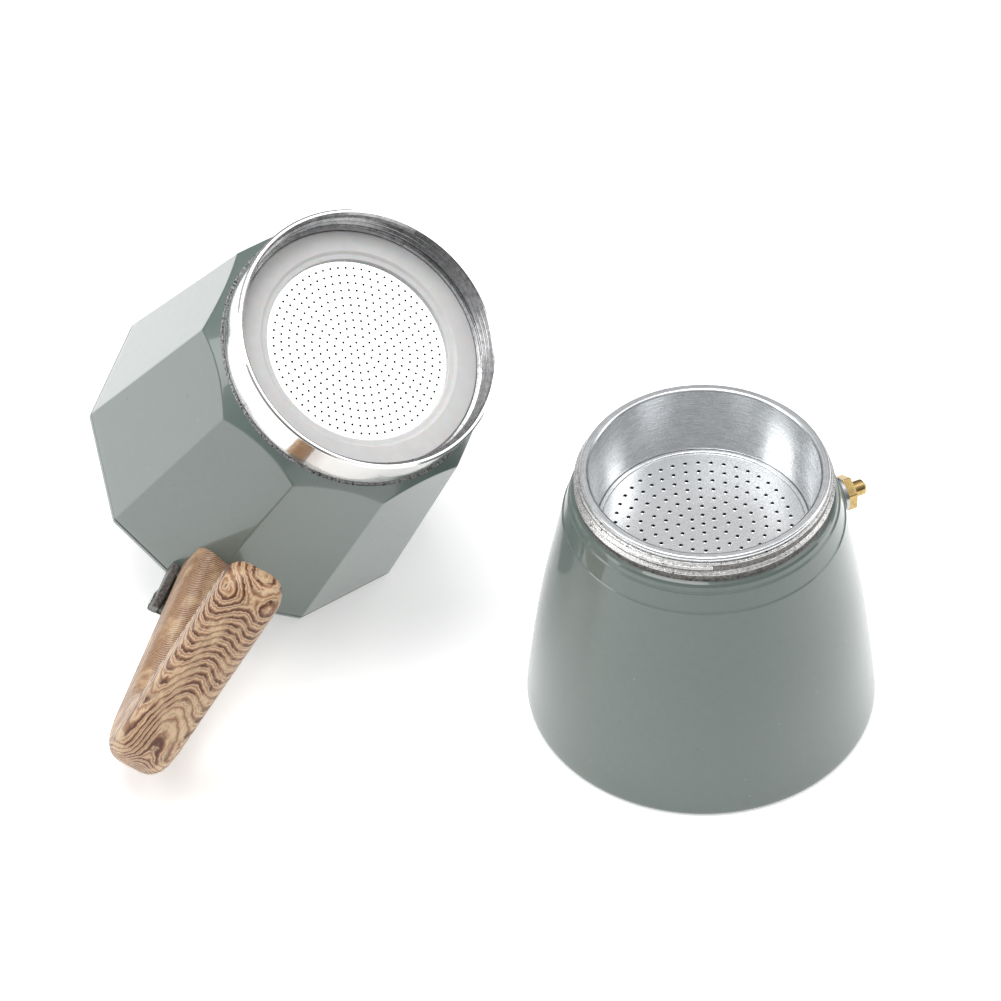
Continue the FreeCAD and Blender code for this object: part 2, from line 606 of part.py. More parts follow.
def handle():
    half = HANDLE_THICKNESS / 2
    run = HANDLE_END_REACH - HANDLE_BEND_REACH
    drop = HANDLE_END_PLACE - HANDLE_BEND_PLACE
    length = math.hypot(run, drop)
    along = (run / length, drop / length)
    out = (along[1], -along[0])
    leg_out = (HANDLE_BEND_REACH + out[0] * half, HANDLE_BEND_PLACE + out[1] * half)
    leg_in = (HANDLE_BEND_REACH - out[0] * half, HANDLE_BEND_PLACE - out[1] * half)
    inside = corner_radius(HANDLE_ROOT_BOTTOM) - 6
    bend_top = HANDLE_BEND_PLACE - half
    bend_low = HANDLE_BEND_PLACE + half
    root_top = (inside, HANDLE_ROOT_TOP)
    root_low = (inside, HANDLE_ROOT_BOTTOM)
    top_way = (HANDLE_BEND_REACH - inside, bend_top - HANDLE_ROOT_TOP)
    low_way = (HANDLE_BEND_REACH - inside, bend_low - HANDLE_ROOT_BOTTOM)
    outer_corner = line_meet(root_top, top_way, leg_out, along)
    inner_corner = line_meet(root_low, low_way, leg_in, along)
    end_out = (HANDLE_END_REACH + out[0] * half + along[0] * half,
               HANDLE_END_PLACE + out[1] * half + along[1] * half)
    end_in = (HANDLE_END_REACH - out[0] * half + along[0] * half,
              HANDLE_END_PLACE - out[1] * half + along[1] * half)
    outline = [root_top, outer_corner, end_out, end_in, inner_corner, root_low]
    solid = extruded_plate(outline, HANDLE_WIDTH / 2)
    solid = rounded_along_y(solid, outer_corner, HANDLE_OUTER_BEND)
    solid = rounded_along_y(solid, inner_corner, HANDLE_INNER_BEND)
    solid = rounded_along_y(solid, end_out, half * 0.93)
    solid = rounded_along_y(solid, end_in, half * 0.93)
    borders = []
    for edge in solid.Edges:
        box = edge.BoundBox
        if box.YLength < 0.01 and abs(abs(box.YMin) - HANDLE_WIDTH / 2) < 0.01 and box.XMax > inside + 1:
            borders.append(edge)
    solid = solid.makeFillet(HANDLE_EDGE_ROUNDING, borders)
    middle = (HANDLE_ROOT_TOP + HANDLE_ROOT_BOTTOM) / 2
    solid = solid.cut(faceted_along(0, -1, COLLECTOR_LENGTH))
    pocket_end = corner_radius(middle) + LUG_REACH + LUG_CLEARANCE
    pocket = Part.makeBox(pocket_end, LUG_WIDTH + 2 * LUG_CLEARANCE, LUG_HEIGHT + 2 * LUG_CLEARANCE,
                          V(0, -LUG_WIDTH / 2 - LUG_CLEARANCE, middle - LUG_HEIGHT / 2 - LUG_CLEARANCE))
    screw_reach = corner_radius(middle) + LUG_REACH - 6
    top_here = HANDLE_ROOT_TOP + (bend_top - HANDLE_ROOT_TOP) * (screw_reach - inside) / top_way[0]
    passage = cylinder(SCREW_RADIUS + LUG_CLEARANCE, -5, middle)
    sink = cylinder(SCREW_HEAD_RADIUS + LUG_CLEARANCE, -5, top_here + SCREW_HEAD_HEIGHT + 0.4)
    for cutter in (passage, sink):
        cutter.translate(V(screw_reach, 0, 0))
    solid = solid.cut(pocket).cut(passage).cut(sink)
    tip = middle + LUG_HEIGHT / 2 - 1.6
    head = top_here + 0.4
    screw = cylinder(SCREW_RADIUS, head, tip).fuse(cylinder(SCREW_HEAD_RADIUS, head, head + SCREW_HEAD_HEIGHT))
    screw = screw.cut(Part.makeBox(2 * SCREW_HEAD_RADIUS + 1, 1.0, 1.2,
                                   V(-SCREW_HEAD_RADIUS - 0.5, -0.5, head - 0.1)))
    screw.translate(V(screw_reach, 0, 0))
    return {"handle": solid, "handle_screw": screw.removeSplitter()}


# ---------------------------------------------------------------- lid
def lid_pieces():
    edge = faceted(RIM_CORNER_RADIUS, -RIM_PLANE_GAP, RIM_CORNER_RADIUS, -LID_TOP_EDGE)
    beak = spout_wedge(0).common(Part.makeBox(80, 80, LID_TOP_EDGE - RIM_PLANE_GAP,
                                              V(-90, -40, 0)))
    beak.translate(V(0, 0, -LID_TOP_EDGE))
    dome = faceted(LID_DOME_CORNER, -LID_TOP_EDGE, LID_TOP_CORNER, -LID_DOME_TOP)
    lid = edge.fuse(beak).fuse(dome)
    under = faceted(LID_DOME_CORNER - 2 * LID_WALL, -RIM_PLANE_GAP, LID_TOP_CORNER - 1,
                    -LID_DOME_TOP + LID_WALL * 1.2)
    lid = lid.cut(under)
    tongue_low = RIM_CORNER_RADIUS - 8
    tongue = extruded_plate([
        (tongue_low, -RIM_PLANE_GAP),
        (tongue_low, -LID_TOP_EDGE),
        (HINGE_REACH, -HINGE_RISE - HINGE_KNUCKLE_RADIUS),
        (HINGE_REACH, -HINGE_RISE),
        (HINGE_REACH - 2.5, -RIM_PLANE_GAP),
    ], HINGE_KNUCKLE_HALF)
    knuckle = across(HINGE_KNUCKLE_RADIUS - 0.5, HINGE_REACH, -HINGE_RISE - 0.1,
                     -HINGE_KNUCKLE_HALF, HINGE_KNUCKLE_HALF)
    lid = lid.fuse(tongue).fuse(knuckle)
    lid = lid.cut(across(HINGE_PIN_RADIUS + HINGE_CLEARANCE, HINGE_REACH, -HINGE_RISE, -30, 30))
    lid = lid.cut(cylinder(KNOB_SCREW_RADIUS + 0.2, -LID_DOME_TOP - 1, 0))
    inner_top = -LID_DOME_TOP + LID_WALL * 1.2
    half = HINGE_KNUCKLE_HALF + HINGE_SIDE_GAP + HINGE_EAR_THICKNESS + 0.4
    pin = across(HINGE_PIN_RADIUS, HINGE_REACH, -HINGE_RISE, -half, half)
    foot = -LID_DOME_TOP
    knob = turned([
        (0, foot),
        (KNOB_FOOT_RADIUS, foot),
        (KNOB_FOOT_RADIUS, foot - 1.5),
        (KNOB_WAIST_RADIUS, foot - 5.0),
        (KNOB_WAIST_RADIUS, foot - 8.0),
        (KNOB_TOP_RADIUS, foot - 14.5),
        (KNOB_TOP_RADIUS, -KNOB_TOP),
        (0, -KNOB_TOP),
    ])
    top = [e for e in knob.Edges if abs(e.BoundBox.ZMin + KNOB_TOP) < 0.01 and e.BoundBox.ZLength < 0.01]
    knob = knob.makeFillet(KNOB_TOP_ROUNDING, top)
    knob = knob.cut(cylinder(KNOB_SCREW_RADIUS, foot - KNOB_SCREW_LENGTH + 3, foot + 1))
    washer = tube(KNOB_WASHER_RADIUS, KNOB_SCREW_RADIUS + 0.2, inner_top, inner_top + KNOB_WASHER_THICKNESS)
    head = inner_top + KNOB_WASHER_THICKNESS
    screw = cylinder(KNOB_SCREW_RADIUS, head - KNOB_SCREW_LENGTH, head)
    screw = screw.fuse(cylinder(KNOB_SCREW_HEAD, head, head + 2.0))
    screw = screw.cut(Part.makeBox(2 * KNOB_SCREW_HEAD + 1, 1.0, 1.2,
                                   V(-KNOB_SCREW_HEAD - 0.5, -0.5, head + 1.0)))
    return {
        "lid": lid.removeSplitter(),
        "hinge_pin": pin,
        "lid_knob": knob,
        "knob_washer": washer,
        "knob_screw": screw.removeSplitter(),
    }


# ---------------------------------------------------------------- where the collector lies
def rest_placement():
    """Collector leaning on the rounding of its knob and on the nearest corner of its lid."""
    corner_turn = math.radians(STEP * round(LEAN_TURN / STEP) - LEAN_TURN)
    reach = RIM_CORNER_RADIUS * math.cos(corner_turn)
    run = reach - KNOB_TOP_RADIUS + KNOB_TOP_ROUNDING
    rise = KNOB_TOP - KNOB_TOP_ROUNDING - LID_TOP_EDGE
    tilt = math.atan2(rise, run) + math.asin(KNOB_TOP_ROUNDING / math.hypot(run, rise))
    lean = math.radians(LEAN_AZIMUTH)
    axis = V(math.sin(tilt) * math.cos(lean), math.sin(tilt) * math.sin(lean), math.cos(tilt))
    lean_way = V(math.cos(tilt) * math.cos(lean), math.cos(tilt) * math.sin(lean), -math.sin(tilt))
    side_way = axis.cross(lean_way)
    turn = math.radians(-LEAN_TURN)
    handle_way = lean_way * math.cos(turn) + side_way * math.sin(turn)
    height = reach * math.sin(tilt) + LID_TOP_EDGE * math.cos(tilt)
    rotation = FreeCAD.Rotation(handle_way, axis.cross(handle_way), axis, "ZXY")
    return FreeCAD.Placement(V(REST_PLACE_X, REST_PLACE_Y, height), rotation)


def main():
    os.makedirs("parts", exist_ok=True)
    upright = {"boiler_shell": boiler_shell()}
    upright.update(valve_pieces())
    upright.update(funnel_pieces())
    lying = collector_casting()
    lying.update({
        "riser_column": riser_column(),
        "gasket": gasket(),
        "filter_plate": filter_plate(),
    })
    lying.update(handle())
    lying.update(lid_pieces())
    placement = rest_placement()
    for shape in lying.values():
        shape.Placement = placement.multiply(shape.Placement)
    for name, shape in {**upright, **lying}.items():
        box = shape.BoundBox
        print(name, "solids", len(shape.Solids), "valid", shape.isValid(), "volume", round(shape.Volume, 1),
              "z", round(box.ZMin, 2), round(box.ZMax, 2))
        shape.exportStep("parts/" + name + ".step")
    print("collector placement", placement)


main()
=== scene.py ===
"""Stovetop moka pot taken apart: boiler with its funnel, and the collector lying on its lid."""

import json
import logging
import math
from dataclasses import dataclass, field
from enum import Enum
from typing import Callable, Iterable, Sequence

import bmesh
import bpy
from mathutils import Matrix, Vector


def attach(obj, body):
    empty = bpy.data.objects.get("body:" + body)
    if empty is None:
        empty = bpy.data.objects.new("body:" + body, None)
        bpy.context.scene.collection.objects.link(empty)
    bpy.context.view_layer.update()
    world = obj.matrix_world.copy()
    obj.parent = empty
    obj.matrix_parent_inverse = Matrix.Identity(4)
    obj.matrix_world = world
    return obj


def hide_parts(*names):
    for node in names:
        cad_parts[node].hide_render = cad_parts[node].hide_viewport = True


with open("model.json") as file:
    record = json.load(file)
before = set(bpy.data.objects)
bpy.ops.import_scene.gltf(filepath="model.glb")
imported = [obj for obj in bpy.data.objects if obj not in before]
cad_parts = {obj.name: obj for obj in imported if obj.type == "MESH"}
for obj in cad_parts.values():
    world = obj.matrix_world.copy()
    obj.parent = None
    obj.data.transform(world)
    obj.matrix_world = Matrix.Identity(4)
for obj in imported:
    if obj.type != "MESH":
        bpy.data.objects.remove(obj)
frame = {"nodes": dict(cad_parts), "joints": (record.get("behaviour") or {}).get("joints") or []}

LOG = logging.getLogger("moka_pot")
MM = 0.001
FULL_TURN = 2.0 * math.pi
Profile = list[tuple[float, float]]
Corner = tuple[float, float, float]
Colour = tuple[float, float, float]
Radius = Callable[[float, float], float]


def vertices(geometry: Iterable) -> list[bmesh.types.BMVert]:
    """The vertices among some geometry."""
    return [part for part in geometry if isinstance(part, bmesh.types.BMVert)]


def edges_of(geometry: Iterable) -> list[bmesh.types.BMEdge]:
    """The edges among some geometry."""
    return [part for part in geometry if isinstance(part, bmesh.types.BMEdge)]


def joined_edges(verts: Iterable[bmesh.types.BMVert]) -> list[bmesh.types.BMEdge]:
    """Every edge at some vertices, each once and in the same order on every run."""
    return list(dict.fromkeys(edge for vert in verts for edge in vert.link_edges))


def soften(bm: bmesh.types.BMesh, edges: Iterable, size: float, segments: int) -> None:
    """Rounds edges of a mesh.

    Args:
        bm: The mesh.
        edges: Its edges, or geometry that holds them.
        size: Width of the rounding.
        segments: Steps of the rounding.
    """
    bmesh.ops.bevel(bm, geom=edges, offset=size, segments=segments, profile=0.5, affect="EDGES",
                    offset_type="OFFSET", clamp_overlap=True, material=-1)


class Body(Enum):
    """Rigid bodies of the frame that pieces ride on."""

    BOILER = "boiler"
    FUNNEL = "funnel"
    COLLECTOR = "collector"
    LID = "lid"
    GASKET = "gasket"
    FILTER = "filter"


class Slot(Enum):
    """Material slots of the record."""

    PAINT = "paint"
    ALUMINIUM = "aluminium"
    BRASS = "brass"
    STEEL = "steel"
    SILICONE = "silicone"
    WOOD_LOOK = "wood_look"


# ------------------------------------------------------------------ places
@dataclass(frozen=True)
class Placing:
    """A sub-assembly's own frame: its origin in metres and its three axes in the row frame."""

    origin: Vector
    x_way: Vector
    y_way: Vector
    z_way: Vector

    def turn(self) -> Matrix:
        """Rotation from the sub-assembly's frame to the row frame."""
        return Matrix((self.x_way, self.y_way, self.z_way)).transposed()

    def matrix(self) -> Matrix:
        """Transform from the sub-assembly's millimetres to the row frame's metres."""
        return Matrix.Translation(self.origin) @ self.turn().to_4x4() @ Matrix.Scale(MM, 4)


def upright() -> Placing:
    """Placing of the boiler, whose frame is the row frame."""
    return Placing(Vector((0, 0, 0)), Vector((1, 0, 0)), Vector((0, 1, 0)), Vector((0, 0, 1)))


def joint_named(name: str) -> dict:
    """One joint of the frame, by name.

    Args:
        name: The joint's name.

    Returns:
        The joint's entry in the record.
    """
    return next(joint for joint in frame["joints"] if joint["name"] == name)


def lying(hinge_reach: float, hinge_rise: float) -> Placing:
    """Placing of the collector, read from the lid's hinge and the gasket's slide.

    Args:
        hinge_reach: Distance of the hinge pin from the collector's axis, in millimetres.
        hinge_rise: Distance of the pin beyond the rim plane, in millimetres.

    Returns:
        The placing, with X towards the handle and Z from the rim to the screw collar.
    """
    hinge = joint_named("lid_hinge")
    axis = -Vector(joint_named("gasket_pull")["axis"]).normalized()
    side = -Vector(hinge["axis"]).normalized()
    grip = side.cross(axis).normalized()
    origin = Vector(hinge["pos_m"]) - MM * hinge_reach * grip + MM * hinge_rise * axis
    return Placing(origin, grip, axis.cross(grip), axis)


# ------------------------------------------------------------------ mesh tools
def rounded(corners: Sequence[Corner], segments: int = 4, closed: bool = True) -> Profile:
    """Outline whose corners are arcs.

    Args:
        corners: (x, z, radius) of each corner; a radius of 0 keeps it sharp.
        segments: Steps along each arc.
        closed: Whether the last corner joins the first.

    Returns:
        Points along the outline.
    """
    points: Profile = []
    count = len(corners)
    for index, (x, z, radius) in enumerate(corners):
        here = Vector((x, z))
        inner = closed or 0 < index < count - 1
        if radius <= 0 or not inner:
            points.append((x, z))
            continue
        before = Vector(corners[index - 1][:2]) - here
        after = Vector(corners[(index + 1) % count][:2]) - here
        half = before.angle(after) / 2
        reach = min(radius / math.tan(half), 0.48 * before.length, 0.48 * after.length)
        start = here + before.normalized() * reach
        end = here + after.normalized() * reach
        for step in range(segments + 1):
            share = step / segments
            curve = start * (1 - share) ** 2 + here * 2 * share * (1 - share) + end * share ** 2
            points.append((curve.x, curve.y))
    return points


def smooth_line(stations: Sequence[tuple[float, float]], steps: int) -> Profile:
    """Natural cubic line through stations.

    Args:
        stations: (position, value) pairs with rising positions.
        steps: Number of even steps along the position.

    Returns:
        (position, value) pairs along the line.
    """
    xs = [s[0] for s in stations]
    ys = [s[1] for s in stations]
    n = len(xs)
    widths = [xs[i + 1] - xs[i] for i in range(n - 1)]
    bends = [0.0] * n
    for _ in range(60):
        for i in range(1, n - 1):
            slope_gap = (ys[i + 1] - ys[i]) / widths[i] - (ys[i] - ys[i - 1]) / widths[i - 1]
            pull = 6 * slope_gap - widths[i - 1] * bends[i - 1] - widths[i] * bends[i + 1]
            bends[i] = pull / (2 * (widths[i - 1] + widths[i]))
    line: Profile = []
    for step in range(steps + 1):
        x = xs[0] + (xs[-1] - xs[0]) * step / steps
        i = min(max(k for k in range(n) if xs[k] <= x + 1e-12), n - 2)
        left, right = (xs[i + 1] - x) / widths[i], (x - xs[i]) / widths[i]
        sag = (left ** 3 - left) * bends[i] + (right ** 3 - right) * bends[i + 1]
        line.append((x, left * ys[i] + right * ys[i + 1] + sag * widths[i] ** 2 / 6))
    return line


class Shaper:
    """Builds one mesh in a sub-assembly's millimetres and turns it into a finished piece."""

    def __init__(self, name: str) -> None:
        """Starts an empty mesh.

        Args:
            name: Name of the finished piece.
        """
        self.name = name
        self.bm = bmesh.new()

    def chain(self, points: Iterable[Vector], closed: bool) -> list:
        """Adds vertices joined by edges.

        Args:
            points: Places of the vertices.
            closed: Whether the last joins the first.

        Returns:
            The vertices and edges.
        """
        verts = [self.bm.verts.new(point) for point in points]
        edges = [self.bm.edges.new(pair) for pair in zip(verts, verts[1:])]
        if closed:
            edges.append(self.bm.edges.new((verts[-1], verts[0])))
        return verts + edges

    def turned(self, profile: Profile, steps: int, closed: bool = True) -> None:
        """Spins an outline about Z.

        Args:
            profile: (radius, height) points.
            steps: Divisions round the axis.
            closed: Whether the outline is a loop; an open one starts and ends on the axis.
        """
        before = set(self.bm.verts)
        geometry = self.chain([Vector((r, 0, z)) for r, z in profile], closed)
        bmesh.ops.spin(self.bm, geom=geometry, cent=(0, 0, 0), axis=(0, 0, 1), dvec=(0, 0, 0),
                       angle=FULL_TURN, steps=steps, use_merge=True)
        fresh = [v for v in self.bm.verts if v not in before]
        bmesh.ops.remove_doubles(self.bm, verts=fresh, dist=1e-5)

    def helix(self, section: Profile, turns: float, pitch: float, steps: int) -> None:
        """Spins a closed section about Z while it climbs.

        Args:
            section: (radius, height) points.
            turns: Number of turns.
            pitch: Climb per turn.
            steps: Divisions per turn.
        """
        geometry = self.chain([Vector((r, 0, z)) for r, z in section], True)
        count = int(steps * turns)
        made = bmesh.ops.spin(self.bm, geom=geometry, cent=(0, 0, 0), axis=(0, 0, 1),
                              dvec=(0, 0, pitch * turns / count), angle=FULL_TURN * turns, steps=count)
        for ring in (edges_of(geometry), edges_of(made["geom_last"])):
            bmesh.ops.holes_fill(self.bm, edges=ring, sides=len(section))

    def rings(self, angles: Sequence[float], stations: Sequence[Callable[[float], tuple[float, float]]],
              join_ends: bool, cap_start: bool = False, cap_end: bool = False) -> None:
        """Draws a ring along stations whose radius and height depend on the angle.

        Args:
            angles: Angle of each column, in radians, rising within one turn.
            stations: For each ring, a function from angle to (radius, height).
            join_ends: Whether the last ring meets the first.
            cap_start: Whether the first ring gets a flat face.
            cap_end: Whether the last ring gets a flat face.
        """
        def place(station: Callable[[float], tuple[float, float]]) -> None:
            """Moves the newest ring to its station."""
            for vert, index in column.items():
                radius, height = station(angles[index])
                vert.co = (radius * math.cos(angles[index]), radius * math.sin(angles[index]), height)

        before = set(self.bm.verts)
        made = bmesh.ops.create_circle(self.bm, segments=len(angles), radius=1.0, cap_ends=False)
        column = {vert: index for index, vert in enumerate(made["verts"])}
        edges = joined_edges(made["verts"])
        place(stations[0])
        if cap_start:
            bmesh.ops.contextual_create(self.bm, geom=edges)
        for station in stations[1:]:
            places = {tuple(round(c, 6) for c in vert.co): index for vert, index in column.items()}
            made = bmesh.ops.extrude_edge_only(self.bm, edges=edges)["geom"]
            edges = edges_of(made)
            column = {vert: places[tuple(round(c, 6) for c in vert.co)] for vert in vertices(made)}
            place(station)
        if cap_end:
            bmesh.ops.contextual_create(self.bm, geom=edges)
        if join_ends:
            fresh = [v for v in self.bm.verts if v not in before]
            bmesh.ops.remove_doubles(self.bm, verts=fresh, dist=1e-4)

    def plate(self, outline: Profile, half_width: float, bevel: float = 0.0, segments: int = 3) -> None:
        """Extrudes an outline in the XZ plane along Y and rounds its borders.

        Args:
            outline: (x, z) points.
            half_width: Half the width along Y.
            bevel: Radius of the rounded borders.
            segments: Steps of the rounding.
        """
        geometry = self.chain([Vector((x, -half_width, z)) for x, z in outline], True)
        edges = edges_of(geometry)
        face = bmesh.ops.contextual_create(self.bm, geom=edges)["faces"]
        made = bmesh.ops.extrude_face_region(self.bm, geom=face)
        bmesh.ops.translate(self.bm, verts=vertices(made["geom"]), vec=(0, 2 * half_width, 0))
        if bevel > 0:
            soften(self.bm, edges + edges_of(made["geom"]), bevel, segments)

    def rod(self, radius: float, low: Vector, high: Vector, sides: int, bevel: float = 0.3) -> None:
        """Adds a round bar with softened ends.

        Args:
            radius: Radius of the bar.
            low: Centre of one end.
            high: Centre of the other end.
            sides: Number of sides.
            bevel: Size of the softened edges.
        """
        way = high - low
        place = Matrix.Translation((low + high) / 2) @ way.to_track_quat("Z", "Y").to_matrix().to_4x4()
        made = bmesh.ops.create_cone(self.bm, cap_ends=True, segments=sides, radius1=radius, radius2=radius,
                                     depth=way.length, matrix=place)
        ends = [edge for edge in joined_edges(made["verts"])
                if abs((edge.verts[0].co - edge.verts[1].co).dot(way)) < 1e-4 * way.length]
        soften(self.bm, ends, bevel, 2)

    def sieve(self, radius: float, thickness: float, centres: Sequence[tuple[float, float]], hole: float,
              lip: float, lip_rise: float, sides: int, place: float) -> None:
        """Adds a round plate with many small pierced holes.

        Args:
            radius: Radius of the plate.
            thickness: Thickness of the plate.
            centres: Places of the holes.
            hole: Radius of a hole.
            lip: Radius of the raised lip round a hole.
            lip_rise: Height of the lip.
            sides: Sides of a hole.
            place: Height of the plate's upper face.
        """
        before = set(self.bm.verts)
        rim = bmesh.ops.create_circle(self.bm, segments=120, radius=radius, cap_ends=False)["verts"]
        flat = joined_edges(rim)
        skirt = bmesh.ops.extrude_edge_only(self.bm, edges=flat)["geom"]
        bmesh.ops.translate(self.bm, verts=vertices(skirt), vec=(0, 0, -thickness))
        for x, y in centres:
            centre = Vector((x, y, 0))
            verts = bmesh.ops.create_circle(self.bm, segments=sides, radius=lip, cap_ends=False,
                                            matrix=Matrix.Translation(centre))["verts"]
            edges = joined_edges(verts)
            flat += edges
            for size, rise in (((lip + 2 * hole) / 3, lip_rise), (hole, 0.6 * lip_rise), (hole, -thickness)):
                made = bmesh.ops.extrude_edge_only(self.bm, edges=edges)["geom"]
                edges = edges_of(made)
                for vert in vertices(made):
                    way = (vert.co - centre).to_2d().normalized() * size
                    vert.co = (x + way.x, y + way.y, rise)
        bmesh.ops.triangle_fill(self.bm, edges=flat, use_beauty=True, use_dissolve=False,
                                normal=(0, 0, 1))
        fresh = [v for v in self.bm.verts if v not in before]
        for vert in fresh:
            vert.co.z += place

    def finish(self, placing: Placing, body: Body, slot: Slot, materials: Sequence[bpy.types.Material],
               nodes: Sequence[str], sharp: float = 32.0,
               pick: Callable[[Vector], int] | None = None, even: bool = True) -> bpy.types.Object:
        """Makes the piece, in place, riding on its body.

        Args:
            placing: The sub-assembly's frame.
            body: Body that the piece rides on.
            slot: Record slot meant for the piece; not used.
            materials: The piece's materials.
            nodes: CAD nodes that the piece stands for.
            sharp: Angle in degrees from which an edge is drawn sharp.
            pick: Material index for a face centre in millimetres, or None for the first.
            even: Whether shading follows the larger faces at rounded edges.

        Returns:
            The finished object.
        """
        bmesh.ops.recalc_face_normals(self.bm, faces=list(self.bm.faces))
        if self.bm.calc_volume(signed=True) < 0:
            bmesh.ops.reverse_faces(self.bm, faces=list(self.bm.faces))
        if pick is not None:
            for face in self.bm.faces:
                face.material_index = pick(face.calc_center_median())
        self.bm.transform(placing.matrix())
        mesh = bpy.data.meshes.new(self.name)
        self.bm.to_mesh(mesh)
        self.bm.free()
        mesh.shade_smooth()
        mesh.set_sharp_from_angle(angle=math.radians(sharp))
        for material in materials:
            mesh.materials.append(material)
        piece = bpy.data.objects.new(self.name, mesh)
        bpy.context.scene.collection.objects.link(piece)
        if even:
            shading = piece.modifiers.new("even_shading", "WEIGHTED_NORMAL")
            shading.keep_sharp = True
            shading.weight = 90
        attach(piece, body.value)
        if nodes:
            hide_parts(*nodes)
        LOG.info("%s: %d faces on %s", self.name, len(mesh.polygons), body.value)
        return piece


def hole_rings(pitch: float, rings: int) -> list[tuple[float, float]]:
    """Centres of concentric rings of holes, six more on each ring.

    Args:
        pitch: Distance between rings.
        rings: Number of rings round the middle hole.

    Returns:
        (x, y) of every hole.
    """
    centres = [(0.0, 0.0)]
    for ring in range(1, rings + 1):
        count = 6 * ring
        for k in range(count):
            angle = FULL_TURN * (k + 0.5 * (ring % 2)) / count
            centres.append((pitch * ring * math.cos(angle), pitch * ring * math.sin(angle)))
    return centres


# ------------------------------------------------------------------ finishes
def in_hole(pitch: float, rings: int, radius: float) -> Callable[[Vector], int]:
    """Makes a test for faces that lie inside the holes of a pierced plate.

    Args:
        pitch: Distance between rings of holes.
        rings: Number of rings.
        radius: Radius of one hole.

    Returns:
        A function that gives 1 inside a hole and 0 elsewhere.
    """
    def pick(centre: Vector) -> int:
        """1 for a face inside a hole."""
        reach = centre.to_2d().length
        ring = round(reach / pitch)
        if ring == 0:
            return int(reach < radius * 1.02)
        if ring > rings:
            return 0
        step = math.tau / (6 * ring)
        lead = step / 2 * (ring % 2)
        angle = round((math.atan2(centre.y, centre.x) - lead) / step) * step + lead
        near = Vector((math.cos(angle), math.sin(angle))) * pitch * ring
        return int((centre.to_2d() - near).length < radius * 1.02)

    return pick


class NodeDesk:
    """Adds and joins nodes in one node tree."""

    def __init__(self, tree: bpy.types.NodeTree) -> None:
        """Takes the tree that nodes are added to."""
        self.tree = tree

    def add(self, kind: str, **settings) -> bpy.types.Node:
        """Adds a node.

        Args:
            kind: Node type without the ShaderNode prefix.
            **settings: Attributes of the node; the key inputs takes a dict of socket values.

        Returns:
            The node.
        """
        node = self.tree.nodes.new(kind if kind.startswith("Node") else "ShaderNode" + kind)
        values = settings.pop("inputs", {})
        for key, value in settings.items():
            setattr(node, key, value)
        for key, value in values.items():
            node.inputs[key].default_value = value
        return node

    def join(self, source: bpy.types.NodeSocket, target: bpy.types.NodeSocket) -> None:
        """Links two sockets."""
        self.tree.links.new(source, target)

    def math(self, operation: str, first, second=0.0, third=0.0) -> bpy.types.NodeSocket:
        """Adds a Math node.

        Args:
            operation: Name of the operation.
            first: Socket or number.
            second: Socket or number.
            third: Socket or number.

        Returns:
            The node's result.
        """
        node = self.add("Math", operation=operation)
        for index, value in enumerate((first, second, third)):
            if isinstance(value, bpy.types.NodeSocket):
                self.join(value, node.inputs[index])
            else:
                node.inputs[index].default_value = value
        return node.outputs[0]

    def ramp(self, source: bpy.types.NodeSocket,
             stops: Sequence[tuple[float, Colour]]) -> bpy.types.NodeSocket:
        """Adds a Color Ramp with straight steps between its colours.

        Args:
            source: Value that drives it.
            stops: (position, colour) pairs.

        Returns:
            The colour.
        """
        node = self.add("ValToRGB")
        node.color_ramp.interpolation = "LINEAR"
        while len(node.color_ramp.elements) < len(stops):
            node.color_ramp.elements.new(0.5)
        for element, (position, colour) in zip(node.color_ramp.elements, stops):
            element.position = position
            element.color = (*colour, 1.0)
        self.join(source, node.inputs[0])
        return node.outputs[0]

    def blend(self, share, first, second) -> bpy.types.NodeSocket:
        """Mixes two colours.

        Args:
            share: Socket or number; 1 gives the second colour.
            first: Socket or colour.
            second: Socket or colour.

        Returns:
            The mixed colour.
        """
        node = self.add("Mix", data_type="RGBA")
        for socket, value in ((node.inputs[0], share), (node.inputs[6], first), (node.inputs[7], second)):
            if isinstance(value, bpy.types.NodeSocket):
                self.join(value, socket)
            else:
                socket.default_value = value if isinstance(value, float) else (*value, 1.0)
        return node.outputs[2]


